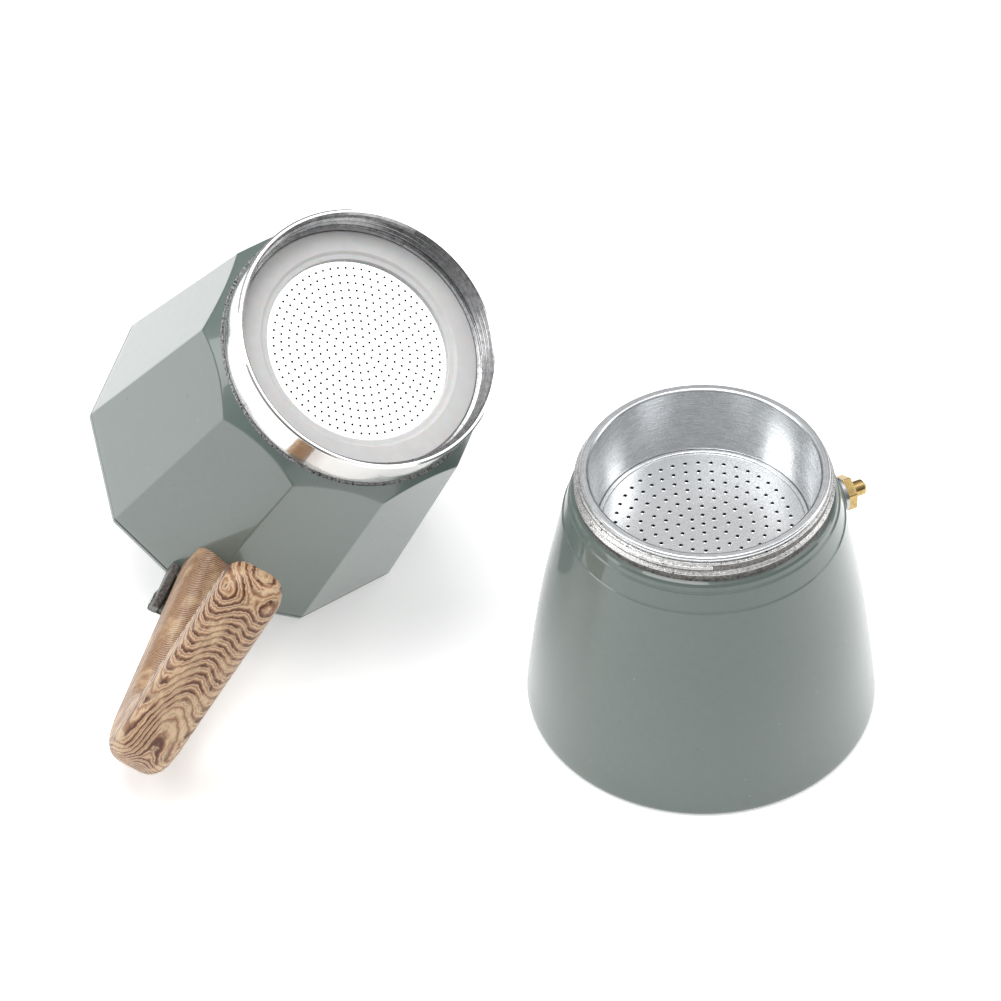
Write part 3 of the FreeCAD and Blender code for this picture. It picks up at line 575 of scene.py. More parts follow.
class EffectGroups:
    """Node groups shared by the finishes, each built once."""

    def __init__(self) -> None:
        """Builds every group."""
        self.grain = self._grain()
        self.turning = self._turning()
        self.specks = self._specks()

    @staticmethod
    def _group(name: str, takes: dict[str, tuple[str, float | None]], gives: Sequence[str]) -> tuple:
        """Makes an empty group with named sockets.

        Args:
            name: Name of the group.
            takes: Input names with (socket type, default).
            gives: Names of the value outputs.

        Returns:
            The desk, the group's input node and its output node.
        """
        tree = bpy.data.node_groups.new(name, "ShaderNodeTree")
        for label, (kind, default) in takes.items():
            socket = tree.interface.new_socket(label, in_out="INPUT", socket_type=kind)
            if default is not None:
                socket.default_value = default
        for label in gives:
            tree.interface.new_socket(label, in_out="OUTPUT", socket_type="NodeSocketFloat")
        desk = NodeDesk(tree)
        return desk, desk.add("NodeGroupInput"), desk.add("NodeGroupOutput")

    def _grain(self) -> bpy.types.NodeTree:
        """Soft mottling with a finer ripple on top."""
        takes = {"Vector": ("NodeSocketVector", None), "Scale": ("NodeSocketFloat", 300.0),
                 "Fine": ("NodeSocketFloat", 4.0)}
        desk, given, result = self._group("surface_grain", takes, ("Shade", "Height"))
        broad = desk.add("TexNoise", inputs={"Detail": 3.0, "Roughness": 0.55})
        fine = desk.add("TexNoise", inputs={"Detail": 4.0, "Roughness": 0.6})
        desk.join(given.outputs["Vector"], broad.inputs["Vector"])
        desk.join(given.outputs["Vector"], fine.inputs["Vector"])
        desk.join(given.outputs["Scale"], broad.inputs["Scale"])
        desk.join(desk.math("MULTIPLY", given.outputs["Scale"], given.outputs["Fine"]), fine.inputs["Scale"])
        height = desk.math("MULTIPLY_ADD", fine.outputs[0], 0.4, desk.math("MULTIPLY", broad.outputs[0], 0.6))
        desk.join(broad.outputs[0], result.inputs["Shade"])
        desk.join(height, result.inputs["Height"])
        return desk.tree

    def _turning(self) -> bpy.types.NodeTree:
        """Fine marks that run round the Z axis of the vector, as a lathe leaves them."""
        takes = {"Vector": ("NodeSocketVector", None), "Lines": ("NodeSocketFloat", 3000.0),
                 "Broken": ("NodeSocketFloat", 2.0)}
        desk, given, result = self._group("turning_marks", takes, ("Shade", "Height"))
        parts = desk.add("SeparateXYZ")
        desk.join(given.outputs["Vector"], parts.inputs[0])
        square = desk.math("ADD", desk.math("MULTIPLY", parts.outputs[0], parts.outputs[0]),
                           desk.math("MULTIPLY", parts.outputs[1], parts.outputs[1]))
        radius = desk.math("MULTIPLY", desk.math("SQRT", square), given.outputs["Lines"])
        height = desk.math("MULTIPLY", parts.outputs[2], given.outputs["Lines"])
        angle = desk.math("MULTIPLY", desk.math("ARCTAN2", parts.outputs[1], parts.outputs[0]),
                          given.outputs["Broken"])
        place = desk.add("CombineXYZ")
        for index, socket in enumerate((radius, height, angle)):
            desk.join(socket, place.inputs[index])
        lines = desk.add("TexNoise", inputs={"Scale": 1.0, "Detail": 2.0, "Roughness": 0.5})
        desk.join(place.outputs[0], lines.inputs["Vector"])
        desk.join(lines.outputs[0], result.inputs["Shade"])
        desk.join(lines.outputs[0], result.inputs["Height"])
        return desk.tree

    def _specks(self) -> bpy.types.NodeTree:
        """Sparse small specks."""
        takes = {"Vector": ("NodeSocketVector", None), "Scale": ("NodeSocketFloat", 700.0),
                 "Amount": ("NodeSocketFloat", 0.1)}
        desk, given, result = self._group("specks", takes, ("Mask",))
        cells = desk.add("TexVoronoi", feature="F1", inputs={"Randomness": 1.0})
        desk.join(given.outputs["Vector"], cells.inputs["Vector"])
        desk.join(given.outputs["Scale"], cells.inputs["Scale"])
        tone = desk.add("SeparateColor")
        desk.join(cells.outputs["Color"], tone.inputs[0])
        chosen = desk.math("LESS_THAN", tone.outputs[0], given.outputs["Amount"])
        near = desk.math("LESS_THAN", cells.outputs["Distance"], 0.22)
        desk.join(desk.math("MULTIPLY", chosen, near), result.inputs["Mask"])
        return desk.tree


@dataclass(frozen=True)
class Finish:
    """A finish: its colour and gloss, and how its marks lie on a piece."""

    name: str
    colour: Colour
    roughness: float
    metallic: float = 0.0
    coat: float = 0.0
    coat_roughness: float = 0.03
    mottle: float = 0.06
    grain_scale: float = 250.0
    grain_depth: float = 0.0
    turning_lines: float = 0.0
    turning_depth: float = 0.0
    speck_amount: float = 0.0
    speck_colour: Colour = (0.8, 0.8, 0.8)
    soft_light: float = 0.0
    soft_depth: float = 0.003
    ior: float = 1.45

    def start(self, placing: Placing, label: str) -> tuple:
        """Makes the material and a vector in the sub-assembly's own frame.

        Args:
            placing: The sub-assembly's frame.
            label: Added to the material's name.

        Returns:
            The material, its desk, its Principled BSDF and the vector socket.
        """
        material = bpy.data.materials.new(self.name + "_" + label)
        material.use_nodes = True
        material.node_tree.nodes.clear()
        desk = NodeDesk(material.node_tree)
        shader = desk.add("BsdfPrincipled")
        output = desk.add("OutputMaterial")
        desk.join(shader.outputs[0], output.inputs[0])
        settings = {"Base Color": (*self.colour, 1.0), "Roughness": self.roughness,
                    "Metallic": self.metallic, "IOR": self.ior, "Coat Weight": self.coat,
                    "Coat Roughness": self.coat_roughness, "Subsurface Weight": self.soft_light,
                    "Subsurface Scale": self.soft_depth}
        for name, value in settings.items():
            shader.inputs[name].default_value = value
        where = desk.add("TexCoord")
        mapping = desk.add("Mapping", vector_type="TEXTURE")
        mapping.inputs["Location"].default_value = placing.origin
        mapping.inputs["Rotation"].default_value = placing.turn().to_euler()
        desk.join(where.outputs["Object"], mapping.inputs["Vector"])
        return material, desk, shader, mapping.outputs[0]

    def dress(self, groups: EffectGroups, placing: Placing, label: str) -> bpy.types.Material:
        """Makes the whole material.

        Args:
            groups: Shared effects.
            placing: The sub-assembly's frame.
            label: Added to the material's name.

        Returns:
            The material.
        """
        material, desk, shader, vector = self.start(placing, label)
        grain = desk.add("Group", node_tree=groups.grain, inputs={"Scale": self.grain_scale})
        desk.join(vector, grain.inputs["Vector"])
        dark = tuple(max(0.0, c * (1 - self.mottle)) for c in self.colour)
        light = tuple(min(1.0, c * (1 + self.mottle)) for c in self.colour)
        colour = desk.ramp(grain.outputs["Shade"], ((0.3, dark), (0.7, light)))
        rough = desk.math("MULTIPLY_ADD", desk.math("SUBTRACT", grain.outputs["Shade"], 0.5),
                          0.35 * self.roughness, self.roughness)
        height = desk.math("MULTIPLY", grain.outputs["Height"], self.grain_depth)
        if self.turning_lines > 0:
            turning = desk.add("Group", node_tree=groups.turning, inputs={"Lines": self.turning_lines})
            desk.join(vector, turning.inputs["Vector"])
            height = desk.math("MULTIPLY_ADD", turning.outputs["Height"], self.turning_depth, height)
            off = desk.math("SUBTRACT", turning.outputs["Shade"], 0.5)
            tone = desk.math("MULTIPLY_ADD", off, 0.5, rough)
            rough = desk.math("MAXIMUM", tone, 0.04)
        if self.speck_amount > 0:
            specks = desk.add("Group", node_tree=groups.specks, inputs={"Amount": self.speck_amount})
            desk.join(vector, specks.inputs["Vector"])
            colour = desk.blend(specks.outputs["Mask"], colour, self.speck_colour)
        bump = desk.add("Bump", inputs={"Strength": 1.0, "Distance": MM})
        desk.join(height, bump.inputs["Height"])
        desk.join(colour, shader.inputs["Base Color"])
        desk.join(rough, shader.inputs["Roughness"])
        desk.join(bump.outputs[0], shader.inputs["Normal"])
        return material


@dataclass(frozen=True)
class WoodPrint(Finish):
    """Printed wood figure whose growth rings run round an axis along the handle's leg."""

    centre: tuple[float, float, float] = (0.1150, 0.001, 0.027)
    lean_degrees: float = -29.9
    stretch: float = 0.23
    rings: float = 1900.0
    sway_rings: float = 3.6
    ragged_rings: float = 0.8
    plain_below: float = 0.34
    pale: Colour = (0.70, 0.51, 0.32)
    middle: Colour = (0.30, 0.130, 0.062)
    streak: Colour = (0.110, 0.032, 0.013)

    def dress(self, groups: EffectGroups, placing: Placing, label: str) -> bpy.types.Material:
        """Makes the wood-look material."""
        material, desk, shader, vector = self.start(placing, label)
        turn = desk.add("Mapping", vector_type="TEXTURE")
        turn.inputs["Location"].default_value = self.centre
        turn.inputs["Rotation"].default_value = (0.0, math.radians(self.lean_degrees), 0.0)
        desk.join(vector, turn.inputs["Vector"])
        parts = desk.add("SeparateXYZ")
        desk.join(turn.outputs[0], parts.inputs[0])
        lengthways = desk.math("MULTIPLY", parts.outputs[2], self.stretch)
        square = desk.math("MULTIPLY", lengthways, lengthways)
        for axis in (0, 1):
            square = desk.math("MULTIPLY_ADD", parts.outputs[axis], parts.outputs[axis], square)
        sway = self._noise(desk, turn, (38.0, 38.0, 22.0), 1.5)
        ragged = self._noise(desk, turn, (520.0, 520.0, 260.0), 3.0)
        radius = desk.math("MULTIPLY_ADD", desk.math("SQRT", square), self.rings,
                           desk.math("MULTIPLY", sway, self.sway_rings))
        ring = desk.math("FRACT", desk.math("MULTIPLY_ADD", ragged, self.ragged_rings, radius))
        figure = desk.ramp(ring, ((0.0, self.middle), (0.2, self.pale), (0.42, self.middle),
                                  (0.54, self.pale), (0.68, self.streak), (0.84, self.streak),
                                  (1.0, self.middle)))
        plain = desk.ramp(ring, ((0.0, self.middle), (0.3, self.pale), (0.8, self.pale),
                                 (1.0, self.middle)))
        patches = self._noise(desk, turn, (160.0, 160.0, 90.0), 2.0)
        share = desk.math("MULTIPLY", desk.math("SUBTRACT", patches, self.plain_below), 6.0)
        chosen = desk.blend(desk.math("MINIMUM", desk.math("MAXIMUM", share, 0.12), 1.0), plain, figure)
        fibre = self._noise(desk, turn, (1500.0, 1500.0, 150.0), 4.0)
        shade = desk.ramp(fibre, ((0.30, (0.60, 0.52, 0.45)), (0.62, (1.0, 1.0, 1.0))))
        mixed = desk.add("Mix", data_type="RGBA", blend_type="MULTIPLY")
        mixed.inputs[0].default_value = 0.6
        desk.join(chosen, mixed.inputs[6])
        desk.join(shade, mixed.inputs[7])
        desk.join(mixed.outputs[2], shader.inputs["Base Color"])
        bump = desk.add("Bump", inputs={"Strength": 1.0, "Distance": MM})
        desk.join(desk.math("MULTIPLY", fibre, self.grain_depth), bump.inputs["Height"])
        desk.join(bump.outputs[0], shader.inputs["Normal"])
        desk.join(desk.math("MULTIPLY_ADD", fibre, 0.12, self.roughness), shader.inputs["Roughness"])
        return material

    @staticmethod
    def _noise(desk: NodeDesk, turn: bpy.types.Node, scale: tuple[float, float, float],
               detail: float) -> bpy.types.NodeSocket:
        """Noise stretched differently along each axis.

        Args:
            desk: Where the nodes are made.
            turn: Mapping node in the figure's own frame.
            scale: Cells per metre along each axis.
            detail: Octaves of the noise.

        Returns:
            The noise value.
        """
        spread = desk.add("Mapping", inputs={"Scale": scale})
        desk.join(turn.outputs[0], spread.inputs["Vector"])
        noise = desk.add("TexNoise", inputs={"Scale": 1.0, "Detail": detail, "Roughness": 0.6})
        desk.join(spread.outputs[0], noise.inputs["Vector"])
        return noise.outputs[0]


PAINT = Finish("sage_paint", (0.126, 0.163, 0.148), 0.30, coat=0.8, coat_roughness=0.04, mottle=0.03,
               grain_scale=420.0, grain_depth=0.008, speck_amount=0.008, speck_colour=(0.18, 0.225, 0.205))
CAST = Finish("cast_aluminium", (0.62, 0.61, 0.60), 0.25, metallic=1.0, mottle=0.22, grain_scale=1100.0,
              grain_depth=0.16, turning_lines=1500.0, turning_depth=0.06, speck_amount=0.14,
              speck_colour=(0.10, 0.09, 0.08))
THREADED = Finish("threaded_aluminium", (0.42, 0.42, 0.425), 0.20, metallic=1.0, mottle=0.25,
                  grain_scale=700.0, grain_depth=0.03, turning_lines=1800.0, turning_depth=0.03)
# Dark metal: on the boiler it is painted shade in the root groove between the thread's turns; the hinge ears
# are wholly in it.
GROOVE_SHADE_AND_DARK_METAL = Finish("groove_shade_and_dark_metal", (0.17, 0.165, 0.16), 0.42, metallic=1.0, mottle=0.5, grain_scale=1100.0,
                grain_depth=0.2)
CHIPPED = Finish("chipped_border", (0.30, 0.30, 0.30), 0.35, metallic=1.0, mottle=0.9, grain_scale=1300.0,
                 grain_depth=0.5, speck_amount=0.35, speck_colour=(0.02, 0.022, 0.024))
POLISHED = Finish("polished_collar", (0.86, 0.85, 0.84), 0.10, metallic=1.0, mottle=0.03, grain_scale=300.0,
                  grain_depth=0.012, turning_lines=4000.0, turning_depth=0.010)
SPUN = Finish("spun_aluminium", (0.74, 0.755, 0.77), 0.27, metallic=1.0, mottle=0.04, grain_scale=400.0,
              grain_depth=0.015, turning_lines=3500.0, turning_depth=0.012)
PIERCED = Finish("pierced_aluminium", (0.90, 0.905, 0.91), 0.22, metallic=1.0, mottle=0.05,
                 grain_scale=1600.0, grain_depth=0.035)
# Painted shade: a near-black finish put on hole walls, under the funnel's pierced floor and in the seam at
# the jug's rim, where only shade falls.
PAINTED_SHADE = Finish("painted_shade", (0.045, 0.045, 0.048), 0.6, mottle=0.1)
BRASS = Finish("turned_brass", (0.50, 0.36, 0.15), 0.18, metallic=1.0, mottle=0.15, grain_scale=700.0,
               grain_depth=0.02)
STEEL = Finish("bright_steel", (0.50, 0.50, 0.51), 0.25, metallic=1.0, mottle=0.05, grain_scale=900.0,
               grain_depth=0.01)
SILICONE = Finish("white_silicone", (0.62, 0.615, 0.61), 0.38, mottle=0.03, grain_scale=300.0,
                  grain_depth=0.02, soft_light=0.35, ior=1.41)
WOOD = WoodPrint("wood_print", (0.45, 0.31, 0.20), 0.42, coat=0.12, coat_roughness=0.15, grain_depth=0.015)


# ------------------------------------------------------------------ sub-assemblies
@dataclass
class Workshop:
    """What every sub-assembly needs to dress its pieces."""

    groups: EffectGroups
    placing: Placing
    label: str
    made: dict[str, bpy.types.Material] = field(default_factory=dict)

    def material(self, finish: Finish) -> bpy.types.Material:
        """The finish as a material in this sub-assembly's frame, made once."""
        if finish.name not in self.made:
            self.made[finish.name] = finish.dress(self.groups, self.placing, self.label)
        return self.made[finish.name]

    def paint_node(self, node: str, finish: Finish) -> None:
        """Gives a CAD node a finish.

        Args:
            node: Name of the node.
            finish: Its finish.
        """
        mesh = frame["nodes"][node].data
        mesh.materials.clear()
        mesh.materials.append(self.material(finish))
        LOG.info("%s: CAD node in %s", node, finish.name)


@dataclass
class Boiler:
    """Bell-shaped boiler with its bare threaded neck and its safety valve."""

    shop: Workshop
    base_radius: float = 54.3
    ridge_radius: float = 42.2
    ridge_height: float = 75.3
    shoulder_radius: float = 40.3
    shoulder_top: float = 81.7
    step_radius: float = 39.3
    step_top: float = 83.8
    thread_root: float = 37.6
    thread_crest: float = 38.5
    thread_pitch: float = 2.5
    thread_turns: float = 1.75
    rim: float = 91.5
    bore: float = 35.3
    wall: float = 2.4
    floor: float = 3.0
    base_rounding: float = 2.6
    valve_height: float = 62.0
    valve_azimuth: float = 23.9
    boss_radius: float = 5.8
    boss_face: float = 46.2
    hex_flats: float = 9.8
    hex_length: float = 3.0
    hex_rounding: float = 0.32
    washer_thickness: float = 1.0
    stub_radius: float = 2.45
    stub_end: float = 8.4
    valve_bore: float = 1.28
    lining: Profile = field(default_factory=list)

    def bell(self, inset: float, low: float) -> Profile:
        """Curved wall from a height up to the ridge, moved inwards.

        Args:
            inset: Distance inwards.
            low: Height where the curve starts.

        Returns:
            (radius, height) points, rising.
        """
        stations = ((0.0, 1.0), (0.22, 0.835), (0.44, 0.653), (0.63, 0.455), (0.81, 0.231), (1.0, 0.0))
        spread = self.base_radius - self.ridge_radius
        line = smooth_line(stations, 36)
        return [(self.ridge_radius + share * spread - inset, low + place * (self.ridge_height - low))
                for place, share in line]

    def shell(self) -> None:
        """Turned shell with steps at the neck, base rounding and the thread."""
        shaper = Shaper("boiler_body")
        wall = self.bell(0.0, 0.0)
        foot = [(x, z) for x, z in wall if z > self.base_rounding + 0.3]
        slope = (wall[1][0] - wall[0][0]) / (wall[1][1] - wall[0][1])
        toe = foot[0][0] - slope * foot[0][1]
        rounding = rounded([(toe - 8, 0, 0), (toe - 0.2, 0, 2.4), (foot[0][0], foot[0][1], 0)], 7, False)
        bead = rounded([(wall[-2][0], wall[-2][1], 0), (self.ridge_radius, self.ridge_height, 0.12),
                        (self.ridge_radius - 0.42, self.ridge_height + 0.3, 0.12),
                        (self.shoulder_radius, self.shoulder_top, 0.5),
                        (self.shoulder_radius - 0.55, self.shoulder_top + 0.35, 0.2),
                        (self.step_radius + 0.1, self.step_top - 0.2, 0.3),
                        (self.step_radius - 0.5, self.step_top + 0.5, 0.25),
                        (self.thread_root, self.step_top + 1.1, 0.5),
                        (self.thread_root, self.rim, 0.5), (self.bore, self.rim, 0.4),
                        (self.bore, self.shoulder_top, 0.6)], 3, False)
        self.lining = self.bell(self.wall, self.floor)
        inner = list(reversed(self.lining))
        profile = [(0.0, 0.0)] + rounding[:-1] + foot[:-2] + bead + inner + [(0.0, self.floor)]
        shaper.turned(profile, 192, closed=False)
        root, crest = self.thread_root - 0.15, self.thread_crest
        section = [(root, -1.0), (crest - 0.12, -0.28), (crest, -0.12), (crest, 0.12),
                   (crest - 0.12, 0.28), (root, 1.0)]
        start = self.step_top + self.thread_pitch * 0.85
        shaper.helix([(r, z + start) for r, z in section], self.thread_turns, self.thread_pitch, 96)
        edge = self.step_top + 0.75
        groove = self.thread_root + 0.25
        inside = self.bore + 0.3

        def pick(centre: Vector) -> int:
            """Paint outside up to the neck, bare metal beyond it and inside."""
            reach = centre.to_2d().length
            painted = centre.z < edge and (reach > self.inner_reach(centre.z) + 1.0 or centre.z < 1.0)
            if painted and (centre.z < self.ridge_height or reach > inside):
                return 0
            # Index 2 is painted shade in the root groove between the thread's turns.
            return 2 if groove - 0.7 < reach < groove and edge < centre.z < self.rim - 1.0 else 1

        shaper.finish(self.shop.placing, Body.BOILER, Slot.PAINT,
                      [self.shop.material(finish) for finish in (PAINT, CAST, GROOVE_SHADE_AND_DARK_METAL)],
                      ["boiler_shell"], 30.0, pick)

    def inner_reach(self, height: float) -> float:
        """Radius of the inner wall at a height."""
        if height >= self.ridge_height:
            return self.bore
        near = min(self.lining, key=lambda point: abs(point[1] - height))
        return near[0]

    def valve(self) -> None:
        """Brass hexagon with a rounded stub, on a boss that stands out of the wall."""
        turn = math.radians(self.valve_azimuth)
        out = Vector((math.cos(turn), math.sin(turn), 0))
        side = Vector((-math.sin(turn), math.cos(turn), 0))
        seat = Placing(Vector((0, 0, self.valve_height * MM)) + out * self.boss_face * MM,
                       side, Vector((0, 0, 1)), out)
        boss = Shaper("valve_boss")
        boss.turned(rounded([(0, -5, 0), (self.boss_radius, -5, 0), (self.boss_radius, 0, 0.5), (0, 0, 0)],
                            4, False), 64, closed=False)
        boss.finish(seat, Body.BOILER, Slot.PAINT, [self.shop.material(PAINT)], [])
        body = Shaper("valve_fitting")
        made = bmesh.ops.create_circle(body.bm, segments=6, radius=self.hex_flats / math.sqrt(3),
                                       cap_ends=True)
        bmesh.ops.translate(body.bm, verts=made["verts"], vec=(0, 0, self.washer_thickness))
        face = list({f for v in made["verts"] for f in v.link_faces})
        raised = bmesh.ops.extrude_face_region(body.bm, geom=face)["geom"]
        bmesh.ops.translate(body.bm, verts=vertices(raised), vec=(0, 0, self.hex_length))
        soften(body.bm, list(body.bm.edges), self.hex_rounding, 3)
        stub = rounded([(self.valve_bore, 2.0, 0), (4.2, 3.9, 0), (3.9, 4.0, 0.1), (2.9, 4.25, 0.2),
                        (self.stub_radius, 4.6, 0.2), (self.stub_radius, self.stub_end, 0.8),
                        (self.valve_bore, self.stub_end, 0.2)], 5)
        body.turned(stub, 48)
        body.finish(seat, Body.BOILER, Slot.BRASS, [self.shop.material(BRASS)], ["valve_body"], 40.0)
        for node, finish in (("valve_washer", STEEL), ("valve_retainer", BRASS),
                             ("valve_pin", BRASS), ("valve_spring", STEEL)):
            self.shop.paint_node(node, finish)

    def build(self) -> None:
        """Builds every piece of the boiler."""
        self.shell()
        self.valve()


@dataclass
class Funnel:
    """Coffee basket with a rolled rim, a pierced floor and a stem."""

    shop: Workshop
    rim_radius: float = 37.0
    rim_low: float = 91.5
    rim_top: float = 93.1
    top_radius: float = 34.2
    floor_radius: float = 31.8
    floor: float = 70.1
    wall: float = 0.6
    stem_radius: float = 5.5
    hole_pitch: float = 3.75
    hole_radius: float = 0.55
    hole_rows: int = 7

    def basket(self) -> None:
        """Turned cup, ledge, cone and socket."""
        ledge = self.floor_radius - 1.5
        cone_top = self.floor - 3.0
        cone_low = cone_top - 6.0
        profile = rounded([
            (self.top_radius, self.rim_top - 0.5, 0.6), (self.top_radius + 0.5, self.rim_top, 0.8),
            (self.rim_radius - 0.35, self.rim_top, 0.9), (self.rim_radius, self.rim_low + 0.8, 0.8),
            (self.rim_radius - 0.3, self.rim_low, 0.3), (self.top_radius + self.wall, self.rim_low, 0.2),
            (self.floor_radius + self.wall, self.floor, 0.6), (ledge + self.wall, self.floor - 1.0, 0.4),
            (ledge + self.wall, cone_top, 1.6), (self.stem_radius + self.wall, cone_low, 1.6),
            (self.stem_radius + self.wall, cone_low - 6.0, 0.1), (self.stem_radius, cone_low - 6.0, 0.1),
            (self.stem_radius, cone_low + 0.4, 1.0), (ledge, cone_top + 0.4, 1.2),
            (ledge, self.floor - 0.2, 0.2), (self.floor_radius, self.floor - 0.2, 0.3)], 4)
        shaper = Shaper("funnel_cup")
        shaper.turned(profile, 160)
        ceiling = self.floor - 0.6

        def pick(centre: Vector) -> int:
            """Painted shade under the pierced floor, spun metal elsewhere."""
            return int(cone_low < centre.z < ceiling and centre.to_2d().length < ledge - 0.2)

        shaper.finish(self.shop.placing, Body.FUNNEL, Slot.ALUMINIUM,
                      [self.shop.material(SPUN), self.shop.material(PAINTED_SHADE)], ["funnel_basket"], 40.0, pick)

    def disc(self) -> None:
        """Flat floor with burred holes and a crimped ring at its edge."""
        shaper = Shaper("funnel_floor")
        shaper.sieve(self.floor_radius - 0.05, 0.5, hole_rings(self.hole_pitch, self.hole_rows),
                     self.hole_radius, 0.72, 0.05, 10, self.floor + 0.3)
        shaper.turned(rounded([(self.floor_radius - 1.6, self.floor + 0.2, 0.1),
                               (self.floor_radius - 1.2, self.floor + 0.75, 0.4),
                               (self.floor_radius - 0.1, self.floor + 0.75, 0.2),
                               (self.floor_radius - 0.1, self.floor + 0.2, 0.1)], 4), 120)
        # Faces inside the holes take painted shade, a near-black finish.
        shaper.finish(self.shop.placing, Body.FUNNEL, Slot.ALUMINIUM,
                      [self.shop.material(PIERCED), self.shop.material(PAINTED_SHADE)], ["funnel_disc"], 9.0,
                      in_hole(self.hole_pitch, self.hole_rows, self.hole_radius), even=False)

    def build(self) -> None:
        """Builds every piece of the funnel."""
        self.basket()
        self.disc()
        self.shop.paint_node("funnel_stem", SPUN)


@dataclass
class Faceting:
    """Ten-sided tapered outline of the jug, its beak, and the cone that cuts its facets."""

    facets: int = 10
    rim_corner: float = 57.0
    near_corner: float = 46.2
    near_place: float = 78.8
    length: float = 98.0
    collar_radius: float = 41.4
    collar_low: float = 83.8
    arris: float = 1.3
    spout_reach: float = 12.0
    spout_half_width: float = 15.0
    spout_drop: float = 34.0
    hinge_reach: float = 63.5
    hinge_rise: float = 2.4

    def angles(self) -> list[float]:
        """Columns round the axis, closer together near the arrises and the beak."""
        step = 360.0 / self.facets
        shares = (0.0, 0.18, 0.36, 0.6, 1.2, 2.4, 4.5, 7.5, 10.5, 13.5, 16.0)
        columns: set[float] = set()
        for k in range(self.facets):
            for share in shares:
                columns.add(round(k * step + share, 4) % 360)
                columns.add(round(k * step - share, 4) % 360)
            columns.add(round((k + 0.5) * step, 4) % 360)
        return [math.radians(angle) for angle in sorted(columns)]

    def corner(self, place: float) -> float:
        """Radius of the sharp corners at a place along the axis."""
        taper = (self.rim_corner - self.near_corner) / self.near_place
        return self.rim_corner - taper * place

    def flat(self, angle: float, corner: float, inset: float = 0.0, rounding: float | None = None) -> float:
        """Radius of the rounded polygon in one direction.

        Args:
            angle: Direction, in radians.
            corner: Corner radius of the sharp outline.
            inset: Distance inwards.
            rounding: Radius of the rounded arris, or None for the usual one.

        Returns:
            The radius.
        """
        half = math.pi / self.facets
        arris = self.arris if rounding is None else rounding
        apothem = corner * math.cos(half) - inset
        off = abs((angle + half) % (2 * half) - half)
        reach = apothem / math.cos(half - off)
        centre = (apothem - arris) / math.cos(half)
        tangent = math.atan2((apothem - arris) * math.tan(half), apothem)
        if half - off > tangent:
            inner = arris ** 2 - (centre * math.sin(off)) ** 2
            reach = centre * math.cos(off) + math.sqrt(max(inner, 0.0))
        return reach

    def beak(self, angle: float, place: float, inset: float = 0.0) -> float:
        """Radius of the beak in one direction, or 0 where there is none.

        Args:
            angle: Direction, in radians.
            place: Distance from the rim plane.
            inset: Distance inwards.

        Returns:
            The radius.
        """
        ray = Vector((math.cos(angle), math.sin(angle), 0))
        if ray.x > -0.9:
            return 0.0
        corner = self.corner(self.spout_drop)
        side = Vector((6 - self.rim_corner, self.spout_half_width + 3 - inset * 1.2, 0))
        tip = Vector((-self.rim_corner - self.spout_reach + inset * 1.6, 0, 0))
        foot = Vector((-corner + 0.5 + inset * 1.3, 0, self.spout_drop - inset))
        reach = 1e9
        for way in (1, -1):
            turn = Vector((1, way, 1))
            left = side * turn
            normal = (tip - left).cross(foot - left)
            facing = normal.dot(ray)
            if abs(facing) > 1e-9:
                reach = min(reach, (normal.dot(left) - normal.z * place) / facing)
        return reach if 0 < reach < 200 else 0.0

    def outer(self, angle: float, place: float) -> float:
        """Radius of the painted outside at a place along the axis."""
        return max(self.flat(angle, self.corner(place)), self.beak(angle, max(place, 0.0)))

    def inner(self, angle: float, place: float, wall: float) -> float:
        """Radius of the jug's inside at a place along the axis."""
        return max(self.flat(angle, self.corner(place), wall, 2.0), self.beak(angle, place, wall))

    def cone(self, place: float) -> float:
        """Radius of the conical shoulder at a place along the axis."""
        slope = (self.near_corner - self.collar_radius - 0.6) / (self.collar_low - self.near_place)
        return self.near_corner - slope * (place - self.near_place)

    def cut(self, angle: float) -> float:
        """Place along the axis where the shoulder cuts the facet in one direction."""
        low, high = self.near_place - 15, self.collar_low
        for _ in range(40):
            middle = (low + high) / 2
            if self.flat(angle, self.corner(middle)) < self.cone(middle):
                low = middle
            else:
                high = middle
        return (low + high) / 2


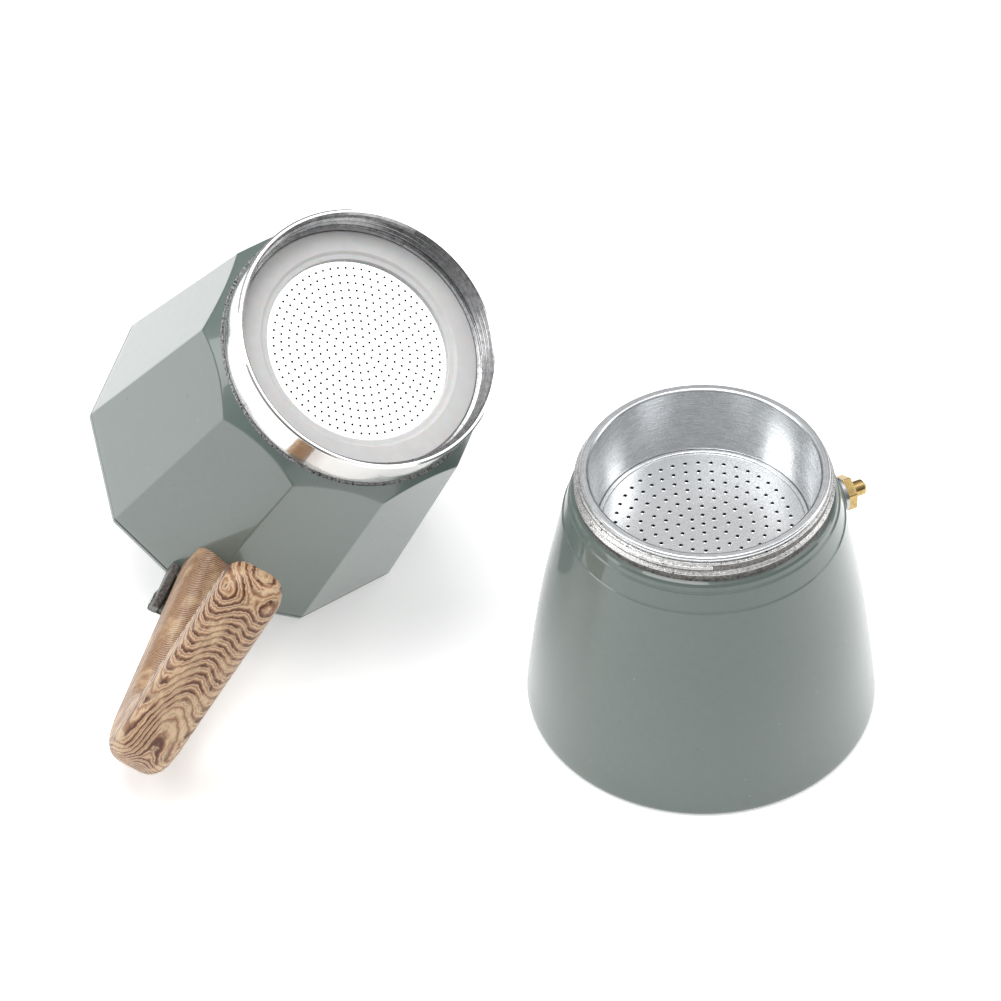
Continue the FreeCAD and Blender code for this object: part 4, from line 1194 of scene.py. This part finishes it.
@dataclass
class Collector:
    """Faceted jug with its screw collar, seal, plate, riser, hinge ears and handle."""

    shop: Workshop
    shape: Faceting
    wall: float = 2.6
    chamber_floor: float = 74.0
    seat: float = 87.2
    plate_low: float = 86.4
    collar_bore: float = 39.615
    thread_crest: float = 38.85
    thread_pitch: float = 2.5
    gasket_radius: float = 38.0
    gasket_hole: float = 28.8
    gasket_thickness: float = 2.0
    plate_radius: float = 31.5
    plate_hole: float = 0.36
    plate_pitch: float = 2.42
    plate_rows: int = 11
    seat_bore: float = 38.2
    recess_radius: float = 31.7
    ear_offset: float = 10.7
    ear_half: float = 1.3
    ear_radius: float = 3.4
    web_height: float = 6.5
    handle_width: float = 18.8
    handle_thickness: float = 15.9
    root_top: float = 3.0
    root_low: float = 25.0
    bend: tuple[float, float] = (125.0, 11.3)
    end: tuple[float, float] = (85.0, 80.8)
    outer_bend: float = 19.0
    inner_bend: float = 8.0
    grip_rounding: float = 6.0

    def jug(self) -> None:
        """Painted jug from the rim to the gasket's seat, hollow on both sides of its floor."""
        shape = self.shape
        stations: list[Callable[[float], tuple[float, float]]] = []

        def at(place: Callable[[float], float], radius: Radius) -> None:
            """Adds a station from its place at an angle and its radius at that angle and place."""
            stations.append(lambda angle: (radius(angle, place(angle)), place(angle)))

        low = shape.collar_low
        under = 0.7
        for place, inset in ((0.0, 0.5), (0.12, 0.15)):
            at(lambda t, p=place: p, lambda t, z, i=inset: shape.outer(t, 0.0) - i)
        at(lambda t: 0.5, shape.outer)
        rows = 26
        for row in range(1, rows):
            at(lambda t, s=row / rows: 0.5 + s * (shape.cut(t) - 1.0), shape.outer)
        for before in (0.5, 0.25):
            at(lambda t, b=before: shape.cut(t) - b, lambda t, z: shape.flat(t, shape.corner(z)) - 0.01)
        at(shape.cut, lambda t, z: shape.cone(z) - 0.10)
        for after in (0.3, 0.6):
            at(lambda t, a=after: min(shape.cut(t) + a, low), lambda t, z: shape.cone(z) - 0.02)
        for share in (0.35, 0.7, 1.0):
            at(lambda t, s=share: shape.cut(t) + under + s * (low - under - shape.cut(t)),
               lambda t, z: shape.cone(z))
        floor = self.chamber_floor
        for radius, place in ((shape.collar_radius + 0.15, low + 0.12),
                              (shape.collar_radius - 0.05, low + 0.3),
                              (shape.collar_radius - 0.05, low + 0.9), (shape.collar_radius, low + 1.1),
                              (shape.collar_radius, self.seat), (self.seat_bore, self.seat),
                              (self.recess_radius, self.seat), (self.recess_radius, self.plate_low),
                              (29.8, self.plate_low), (18.0, self.plate_low - 3.45), (6.0, 79.4),
                              (6.0, floor), (16.0, floor), (30.0, floor)):
            at(lambda t, p=place: p, lambda t, z, r=radius: r)
        for place, extra in ((floor, 1.6), (floor - 0.5, 0.4)):
            at(lambda t, p=place: p, lambda t, z, e=extra: shape.inner(t, floor, self.wall + e))
        for place in (floor - 1.8, 60.0, 48.0, 38.0, 34.0, 30.0, 24.0, 18.0, 12.0, 6.0, 2.0, 0.4):
            at(lambda t, p=place: p, lambda t, z: shape.inner(t, z, self.wall))
        at(lambda t: 0.0, lambda t, z: shape.inner(t, z, self.wall) + 0.3)
        at(lambda t: 0.0, lambda t, z: shape.outer(t, z) - 0.5)
        shaper = Shaper("collector_jug")
        shaper.rings(shape.angles(), stations, join_ends=True)

        def pick(centre: Vector) -> int:
            """Paint outside, bare metal inside."""
            reach = centre.to_2d().length
            angle = math.atan2(centre.y, centre.x)
            if centre.z > low + 1.0 and reach > shape.collar_radius - 1.0:
                return 2
            if centre.z > low and reach > shape.collar_radius - 1.0:
                return 3
            # Index 4 is painted shadow in the seam between the jug's rim and the lid.
            if centre.z < 0.45 and reach > shape.outer(angle, 0.0) - 1.0:
                return 4
            limit = min(shape.outer(angle, centre.z), shape.cone(centre.z)) - 1.2
            return 0 if reach > limit and centre.z < low + 0.3 else 1

        shaper.finish(self.shop.placing, Body.COLLECTOR, Slot.PAINT,
                      [self.shop.material(finish) for finish in (PAINT, CAST, POLISHED, CHIPPED, PAINTED_SHADE)],
                      ["collector_shell"], 24.0, pick)

    def ears(self) -> None:
        """Two cast ears for the hinge pin."""
        shaper = Shaper("hinge_ears")
        reach, rise, around = self.shape.hinge_reach, self.shape.hinge_rise, self.ear_radius
        root = self.shape.rim_corner - 6.5
        web = [(root, 0.0), (root, self.web_height), (root + 4.0, self.web_height), (reach + around, 1.5),
               (reach + around, -rise), (reach - around, -rise), (reach - around, 0.0)]
        for middle in (-self.ear_offset, self.ear_offset):
            count = len(shaper.bm.verts)
            shaper.plate(web, self.ear_half, 0.4, 2)
            shaper.bm.verts.ensure_lookup_table()
            bmesh.ops.translate(shaper.bm, verts=shaper.bm.verts[count:], vec=(0, middle, 0))
            shaper.rod(around, Vector((reach, middle - self.ear_half, -rise)),
                       Vector((reach, middle + self.ear_half, -rise)), 32)
        shaper.finish(self.shop.placing, Body.COLLECTOR, Slot.PAINT, [self.shop.material(GROOVE_SHADE_AND_DARK_METAL)], [])

    def collar(self) -> None:
        """Polished ring with an internal thread."""
        shape = self.shape
        radius, bore, end = shape.collar_radius, self.collar_bore, shape.length
        profile = rounded([(self.seat_bore, self.seat, 0), (radius, self.seat, 0.1),
                           (radius, end - 0.5, 0.25), (radius - 0.5, end, 0.2),
                           (bore + 0.6, end, 0.2), (bore, end - 0.7, 0.3),
                           (bore, self.seat + self.gasket_thickness, 0.2),
                           (self.seat_bore, self.seat + self.gasket_thickness - 0.4, 0.1)], 4)
        shaper = Shaper("screw_ring")
        shaper.turned(profile, 192)
        crest, root = self.thread_crest, bore + 0.15
        section = [(root, -1.0), (crest + 0.12, -0.3), (crest, -0.14), (crest, 0.14),
                   (crest + 0.12, 0.3), (root, 1.0)]
        start = self.seat + self.gasket_thickness + self.thread_pitch * 0.55
        shaper.helix([(r, z + start) for r, z in section], 2.5, self.thread_pitch, 96)

        def pick(centre: Vector) -> int:
            """Polished outside and on the front, cast inside."""
            return 0 if centre.to_2d().length > bore + 0.5 else 1

        shaper.finish(self.shop.placing, Body.COLLECTOR, Slot.ALUMINIUM,
                      [self.shop.material(finish) for finish in (POLISHED, THREADED)],
                      ["screw_collar"], 34.0, pick)

    def seal(self) -> None:
        """Silicone gasket and the pierced plate that it holds."""
        low, high = self.seat, self.seat + self.gasket_thickness
        hole = self.gasket_hole
        shaper = Shaper("seal_ring")
        shaper.turned(rounded([(hole, low, 0.1), (self.gasket_radius, low, 0.2),
                               (self.gasket_radius, high, 0.6), (hole + 2.6, high, 0.6),
                               (hole + 1.7, high - 0.7, 0.4), (hole + 0.2, high - 0.85, 0.4)], 5), 160)
        shaper.finish(self.shop.placing, Body.GASKET, Slot.SILICONE, [self.shop.material(SILICONE)],
                      ["gasket"], 50.0)
        plate = Shaper("pierced_plate")
        plate.sieve(self.plate_radius, 0.8, hole_rings(self.plate_pitch, self.plate_rows), self.plate_hole,
                    0.50, 0.004, 8, self.seat - 0.02)
        # Faces inside the holes take painted shade, a near-black finish.
        plate.finish(self.shop.placing, Body.FILTER, Slot.ALUMINIUM,
                     [self.shop.material(PIERCED), self.shop.material(PAINTED_SHADE)], ["filter_plate"], 9.0,
                     in_hole(self.plate_pitch, self.plate_rows, self.plate_hole), even=False)

    def outline(self) -> Profile:
        """Side outline of the handle with rounded bends and end."""
        half = self.handle_thickness / 2
        run, drop = self.end[0] - self.bend[0], self.end[1] - self.bend[1]
        along = Vector((run, drop)).normalized()
        out = Vector((along.y, -along.x))
        bend, end = Vector(self.bend), Vector(self.end)
        inside = self.shape.corner(self.root_low) - 6
        root_top, root_low = Vector((inside, self.root_top)), Vector((inside, self.root_low))
        arm_top = Vector((bend.x, bend.y - half)) - root_top
        arm_low = Vector((bend.x, bend.y + half)) - root_low

        def meet(point: Vector, way: Vector, other: Vector) -> Vector:
            """Where a line along way from point crosses the leg's side through other."""
            cross = way.x * along.y - way.y * along.x
            gap = other - point
            return point + way * ((gap.x * along.y - gap.y * along.x) / cross)

        corner_out = meet(root_top, arm_top, bend + out * half)
        corner_in = meet(root_low, arm_low, bend - out * half)
        end_out, end_in = end + out * half + along * half, end - out * half + along * half
        end_round = half * 0.93
        return arc_outline([(*root_top, 0), (*corner_out, self.outer_bend), (*end_out, end_round),
                            (*end_in, end_round), (*corner_in, self.inner_bend), (*root_low, 0)], 10)

    def handle(self) -> None:
        """Handle that grows out of the arris under the rim, with softly rounded borders."""
        shaper = Shaper("grip")
        shaper.plate(self.outline(), self.handle_width / 2, self.grip_rounding, 8)
        half = math.pi / self.shape.facets
        for vert in shaper.bm.verts:
            apothem = self.shape.corner(vert.co.z) * math.cos(half) - 0.4
            surface = (apothem - abs(vert.co.y) * math.sin(half)) / math.cos(half)
            vert.co.x = max(vert.co.x, surface)
        shaper.finish(self.shop.placing, Body.COLLECTOR, Slot.WOOD_LOOK, [self.shop.material(WOOD)],
                      ["handle"], 50.0)
        self.shop.paint_node("handle_screw", STEEL)

    def build(self) -> None:
        """Builds every piece of the collector."""
        self.jug()
        self.ears()
        self.collar()
        self.seal()
        self.handle()
        self.shop.paint_node("riser_column", CAST)
        self.shop.paint_node("hinge_pin", STEEL)


def arc_outline(corners: Sequence[Corner], segments: int) -> Profile:
    """Closed outline whose corners are true circular arcs.

    Args:
        corners: (x, z, radius) of each corner.
        segments: Steps along each arc.

    Returns:
        Points along the outline.
    """
    points: Profile = []
    count = len(corners)
    for index, (x, z, radius) in enumerate(corners):
        here = Vector((x, z))
        if radius <= 0:
            points.append((x, z))
            continue
        before = (Vector(corners[index - 1][:2]) - here).normalized()
        after = (Vector(corners[(index + 1) % count][:2]) - here).normalized()
        half = before.angle(after) / 2
        centre = here + (before + after).normalized() * (radius / math.sin(half))
        start = here + before * (radius / math.tan(half)) - centre
        end = here + after * (radius / math.tan(half)) - centre
        first = math.atan2(start.y, start.x)
        sweep = (math.atan2(end.y, end.x) - first + math.pi) % FULL_TURN - math.pi
        for step in range(segments + 1):
            angle = first + sweep * step / segments
            points.append((centre.x + radius * math.cos(angle),
                           centre.y + radius * math.sin(angle)))
    return points


@dataclass
class Lid:
    """Hinged lid with a ten-sided dome and its knob."""

    shop: Workshop
    shape: Faceting
    edge: float = 2.4
    gap: float = 0.1
    dome_rise: float = 8.4
    dome_corner: float = 53.0
    top_corner: float = 12.0
    wall: float = 2.0
    knob_height: float = 24.2
    knob_radius: float = 9.0
    knob_foot: float = 8.0
    knob_waist: float = 5.6
    tongue_half_width: float = 9.0
    knuckle_radius: float = 2.9

    def cover(self) -> None:
        """Lid with its edge, dome, hollow underside and hinge tongue."""
        shape = self.shape
        high = self.edge - self.gap
        top = high + self.dome_rise
        inner_top = top - self.wall * 1.2

        def rim(angle: float, inset: float, place: float) -> float:
            """Radius of the lid's outer edge."""
            beak = shape.beak(angle, max(0.0, place + self.edge)) - inset
            return max(shape.flat(angle, shape.rim_corner) - inset, beak)

        stations: list[Callable[[float], tuple[float, float]]] = [
            lambda t: (0.3, -top),
            lambda t: (shape.flat(t, self.top_corner - 1.2, 0, 0.8), -top),
            lambda t: (shape.flat(t, self.top_corner, 0, 0.8), -top + 0.12),
            lambda t: (shape.flat(t, (self.top_corner + self.dome_corner) / 2), -(top + high) / 2),
            lambda t: (shape.flat(t, self.dome_corner), -high - 0.05),
            lambda t: (shape.flat(t, self.dome_corner + 0.8), -high),
            lambda t: (rim(t, 0.5, -high), -high),
            lambda t: (rim(t, 0.12, -high), -high + 0.15),
            lambda t: (rim(t, 0.0, -high), -high + 0.5),
            lambda t: (rim(t, 0.0, -self.gap), -self.gap - 0.3),
            lambda t: (rim(t, 0.3, -self.gap), -self.gap),
            lambda t: (shape.flat(t, self.dome_corner - 2 * self.wall), -self.gap),
            lambda t: (shape.flat(t, self.top_corner - 1), -inner_top),
            lambda t: (0.3, -inner_top),
        ]
        shaper = Shaper("lid_cover")
        shaper.rings(shape.angles(), stations, join_ends=False, cap_start=True, cap_end=True)
        reach, rise, side = shape.hinge_reach, shape.hinge_rise, self.tongue_half_width
        shaper.plate([(48.0, -self.gap), (48.0, -self.edge + 0.1), (reach, -rise - 3.3),
                      (reach + 2.2, -rise - 2.0), (reach, -rise), (reach - 2.5, -self.gap)], side, 0.35, 2)
        shaper.rod(self.knuckle_radius, Vector((reach, -side, -rise - 0.1)),
                   Vector((reach, side, -rise - 0.1)), 32)
        shaper.finish(self.shop.placing, Body.LID, Slot.PAINT, [self.shop.material(PAINT)], ["lid"], 24.0)

    def knob(self) -> None:
        """Turned knob with a waist and a flat rounded top."""
        foot = -(self.edge - self.gap + self.dome_rise)
        top = foot - self.knob_height
        shaper = Shaper("lid_grip")
        shaper.turned(rounded([(0, foot, 0), (self.knob_foot, foot, 0.3), (self.knob_foot, foot - 1.5, 1.0),
                               (self.knob_waist, foot - 5.0, 2.2), (self.knob_waist, foot - 8.0, 3.0),
                               (self.knob_radius, foot - 14.5, 3.5), (self.knob_radius, top, 1.6),
                               (0, top, 0)], 6, False), 96, closed=False)
        shaper.finish(self.shop.placing, Body.LID, Slot.WOOD_LOOK, [self.shop.material(WOOD)],
                      ["lid_knob"], 40.0)
        for node in ("knob_screw", "knob_washer"):
            self.shop.paint_node(node, STEEL)

    def build(self) -> None:
        """Builds every piece of the lid."""
        self.cover()
        self.knob()


# ------------------------------------------------------------------ studio
@dataclass(frozen=True)
class SoftBox:
    """A rectangular area light."""

    name: str
    place: tuple[float, float, float]
    aim: tuple[float, float, float]
    size: tuple[float, float]
    power: float


@dataclass
class Studio:
    """Floor, lights and camera."""

    boxes: tuple[SoftBox, ...] = (
        SoftBox("top_box", (-0.15, 0.1, 1.5), (-0.05, 0.05, 0.0), (1.0, 0.7), 11.0),
        SoftBox("left_window", (-1.1, -0.1, 0.8), (-0.05, 0.0, 0.05), (0.6, 0.6), 4.0),
        SoftBox("right_window", (1.0, 0.2, 0.45), (0.0, 0.0, 0.05), (0.35, 0.8), 2.0),
        SoftBox("plate_box", (0.67, 0.17, 1.04), (-0.08, 0.05, 0.11), (0.45, 0.45), 1.0),
    )
    surround: tuple[tuple[float, float], ...] = ((0.0, 0.13), (0.35, 0.24), (0.62, 0.42),
                                                 (0.85, 0.85), (1.0, 1.1))
    camera_place: tuple[float, float, float] = (-0.06019, -0.77594, 0.84708)
    pitch: float = 44.55
    roll: float = -2.06
    lens: float = 132.55

    def floor(self) -> None:
        """Plain pale floor."""
        bm = bmesh.new()
        bmesh.ops.create_grid(bm, x_segments=1, y_segments=1, size=6.0)
        mesh = bpy.data.meshes.new("floor")
        bm.to_mesh(mesh)
        bm.free()
        material = bpy.data.materials.new("pale_floor")
        material.use_nodes = True
        shader = material.node_tree.nodes["Principled BSDF"]
        shader.inputs["Base Color"].default_value = (0.90, 0.90, 0.895, 1.0)
        shader.inputs["Roughness"].default_value = 0.7
        shader.inputs["Emission Color"].default_value = (1.0, 1.0, 0.995, 1.0)
        shader.inputs["Emission Strength"].default_value = 0.42
        mesh.materials.append(material)
        floor = bpy.data.objects.new("floor", mesh)
        bpy.context.scene.collection.objects.link(floor)

    def lights(self) -> None:
        """Soft boxes and a surround that is brighter overhead."""
        for box in self.boxes:
            light = bpy.data.lights.new(box.name, "AREA")
            light.shape = "RECTANGLE"
            light.size, light.size_y = box.size
            light.energy = box.power
            lamp = bpy.data.objects.new(box.name, light)
            lamp.location = box.place
            way = Vector(box.aim) - Vector(box.place)
            lamp.rotation_euler = way.to_track_quat("-Z", "Y").to_euler()
            bpy.context.scene.collection.objects.link(lamp)
        world = bpy.data.worlds.new("surround")
        world.use_nodes = True
        background = world.node_tree.nodes["Background"]
        desk = NodeDesk(world.node_tree)
        where, parts = desk.add("TexCoord"), desk.add("SeparateXYZ")
        desk.join(where.outputs["Object"], parts.inputs[0])
        top = max(strength for _, strength in self.surround)
        shades = [(height, (share / top * 0.985, share / top * 0.99, share / top))
                  for height, share in self.surround]
        desk.join(desk.ramp(parts.outputs[2], shades), background.inputs[0])
        background.inputs[1].default_value = top
        bpy.context.scene.world = world

    def camera(self) -> None:
        """Camera that looks down along +Y with a slight roll."""
        data = bpy.data.cameras.new("camera")
        data.sensor_width = 36.0
        data.lens = self.lens
        data.clip_start = 0.01
        data.clip_end = 50.0
        camera = bpy.data.objects.new("camera", data)
        pitch, roll = math.radians(self.pitch), math.radians(self.roll)
        right, up = Vector((1, 0, 0)), Vector((0, math.sin(pitch), math.cos(pitch)))
        turned_right = right * math.cos(roll) + up * math.sin(roll)
        turned_up = -right * math.sin(roll) + up * math.cos(roll)
        back = turned_right.cross(turned_up)
        rotation = Matrix((turned_right, turned_up, back)).transposed().to_4x4()
        camera.matrix_world = Matrix.Translation(Vector(self.camera_place)) @ rotation
        bpy.context.scene.collection.objects.link(camera)
        bpy.context.scene.camera = camera

    def build(self) -> None:
        """Builds the whole studio."""
        self.floor()
        self.lights()
        self.camera()
        settings = bpy.context.scene.view_settings
        settings.view_transform = "Standard"
        settings.look = "None"


def main() -> None:
    """Builds the pot and the studio."""
    logging.basicConfig(level=logging.INFO, format="%(name)s: %(message)s")
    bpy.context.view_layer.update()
    Studio().build()
    groups = EffectGroups()
    shape = Faceting()
    stand = Workshop(groups, upright(), "upright")
    lies = Workshop(groups, lying(shape.hinge_reach, shape.hinge_rise), "lying")
    Boiler(stand).build()
    Funnel(stand).build()
    Collector(lies, shape).build()
    Lid(lies, shape).build()


if __name__ == "__main__":
    main()
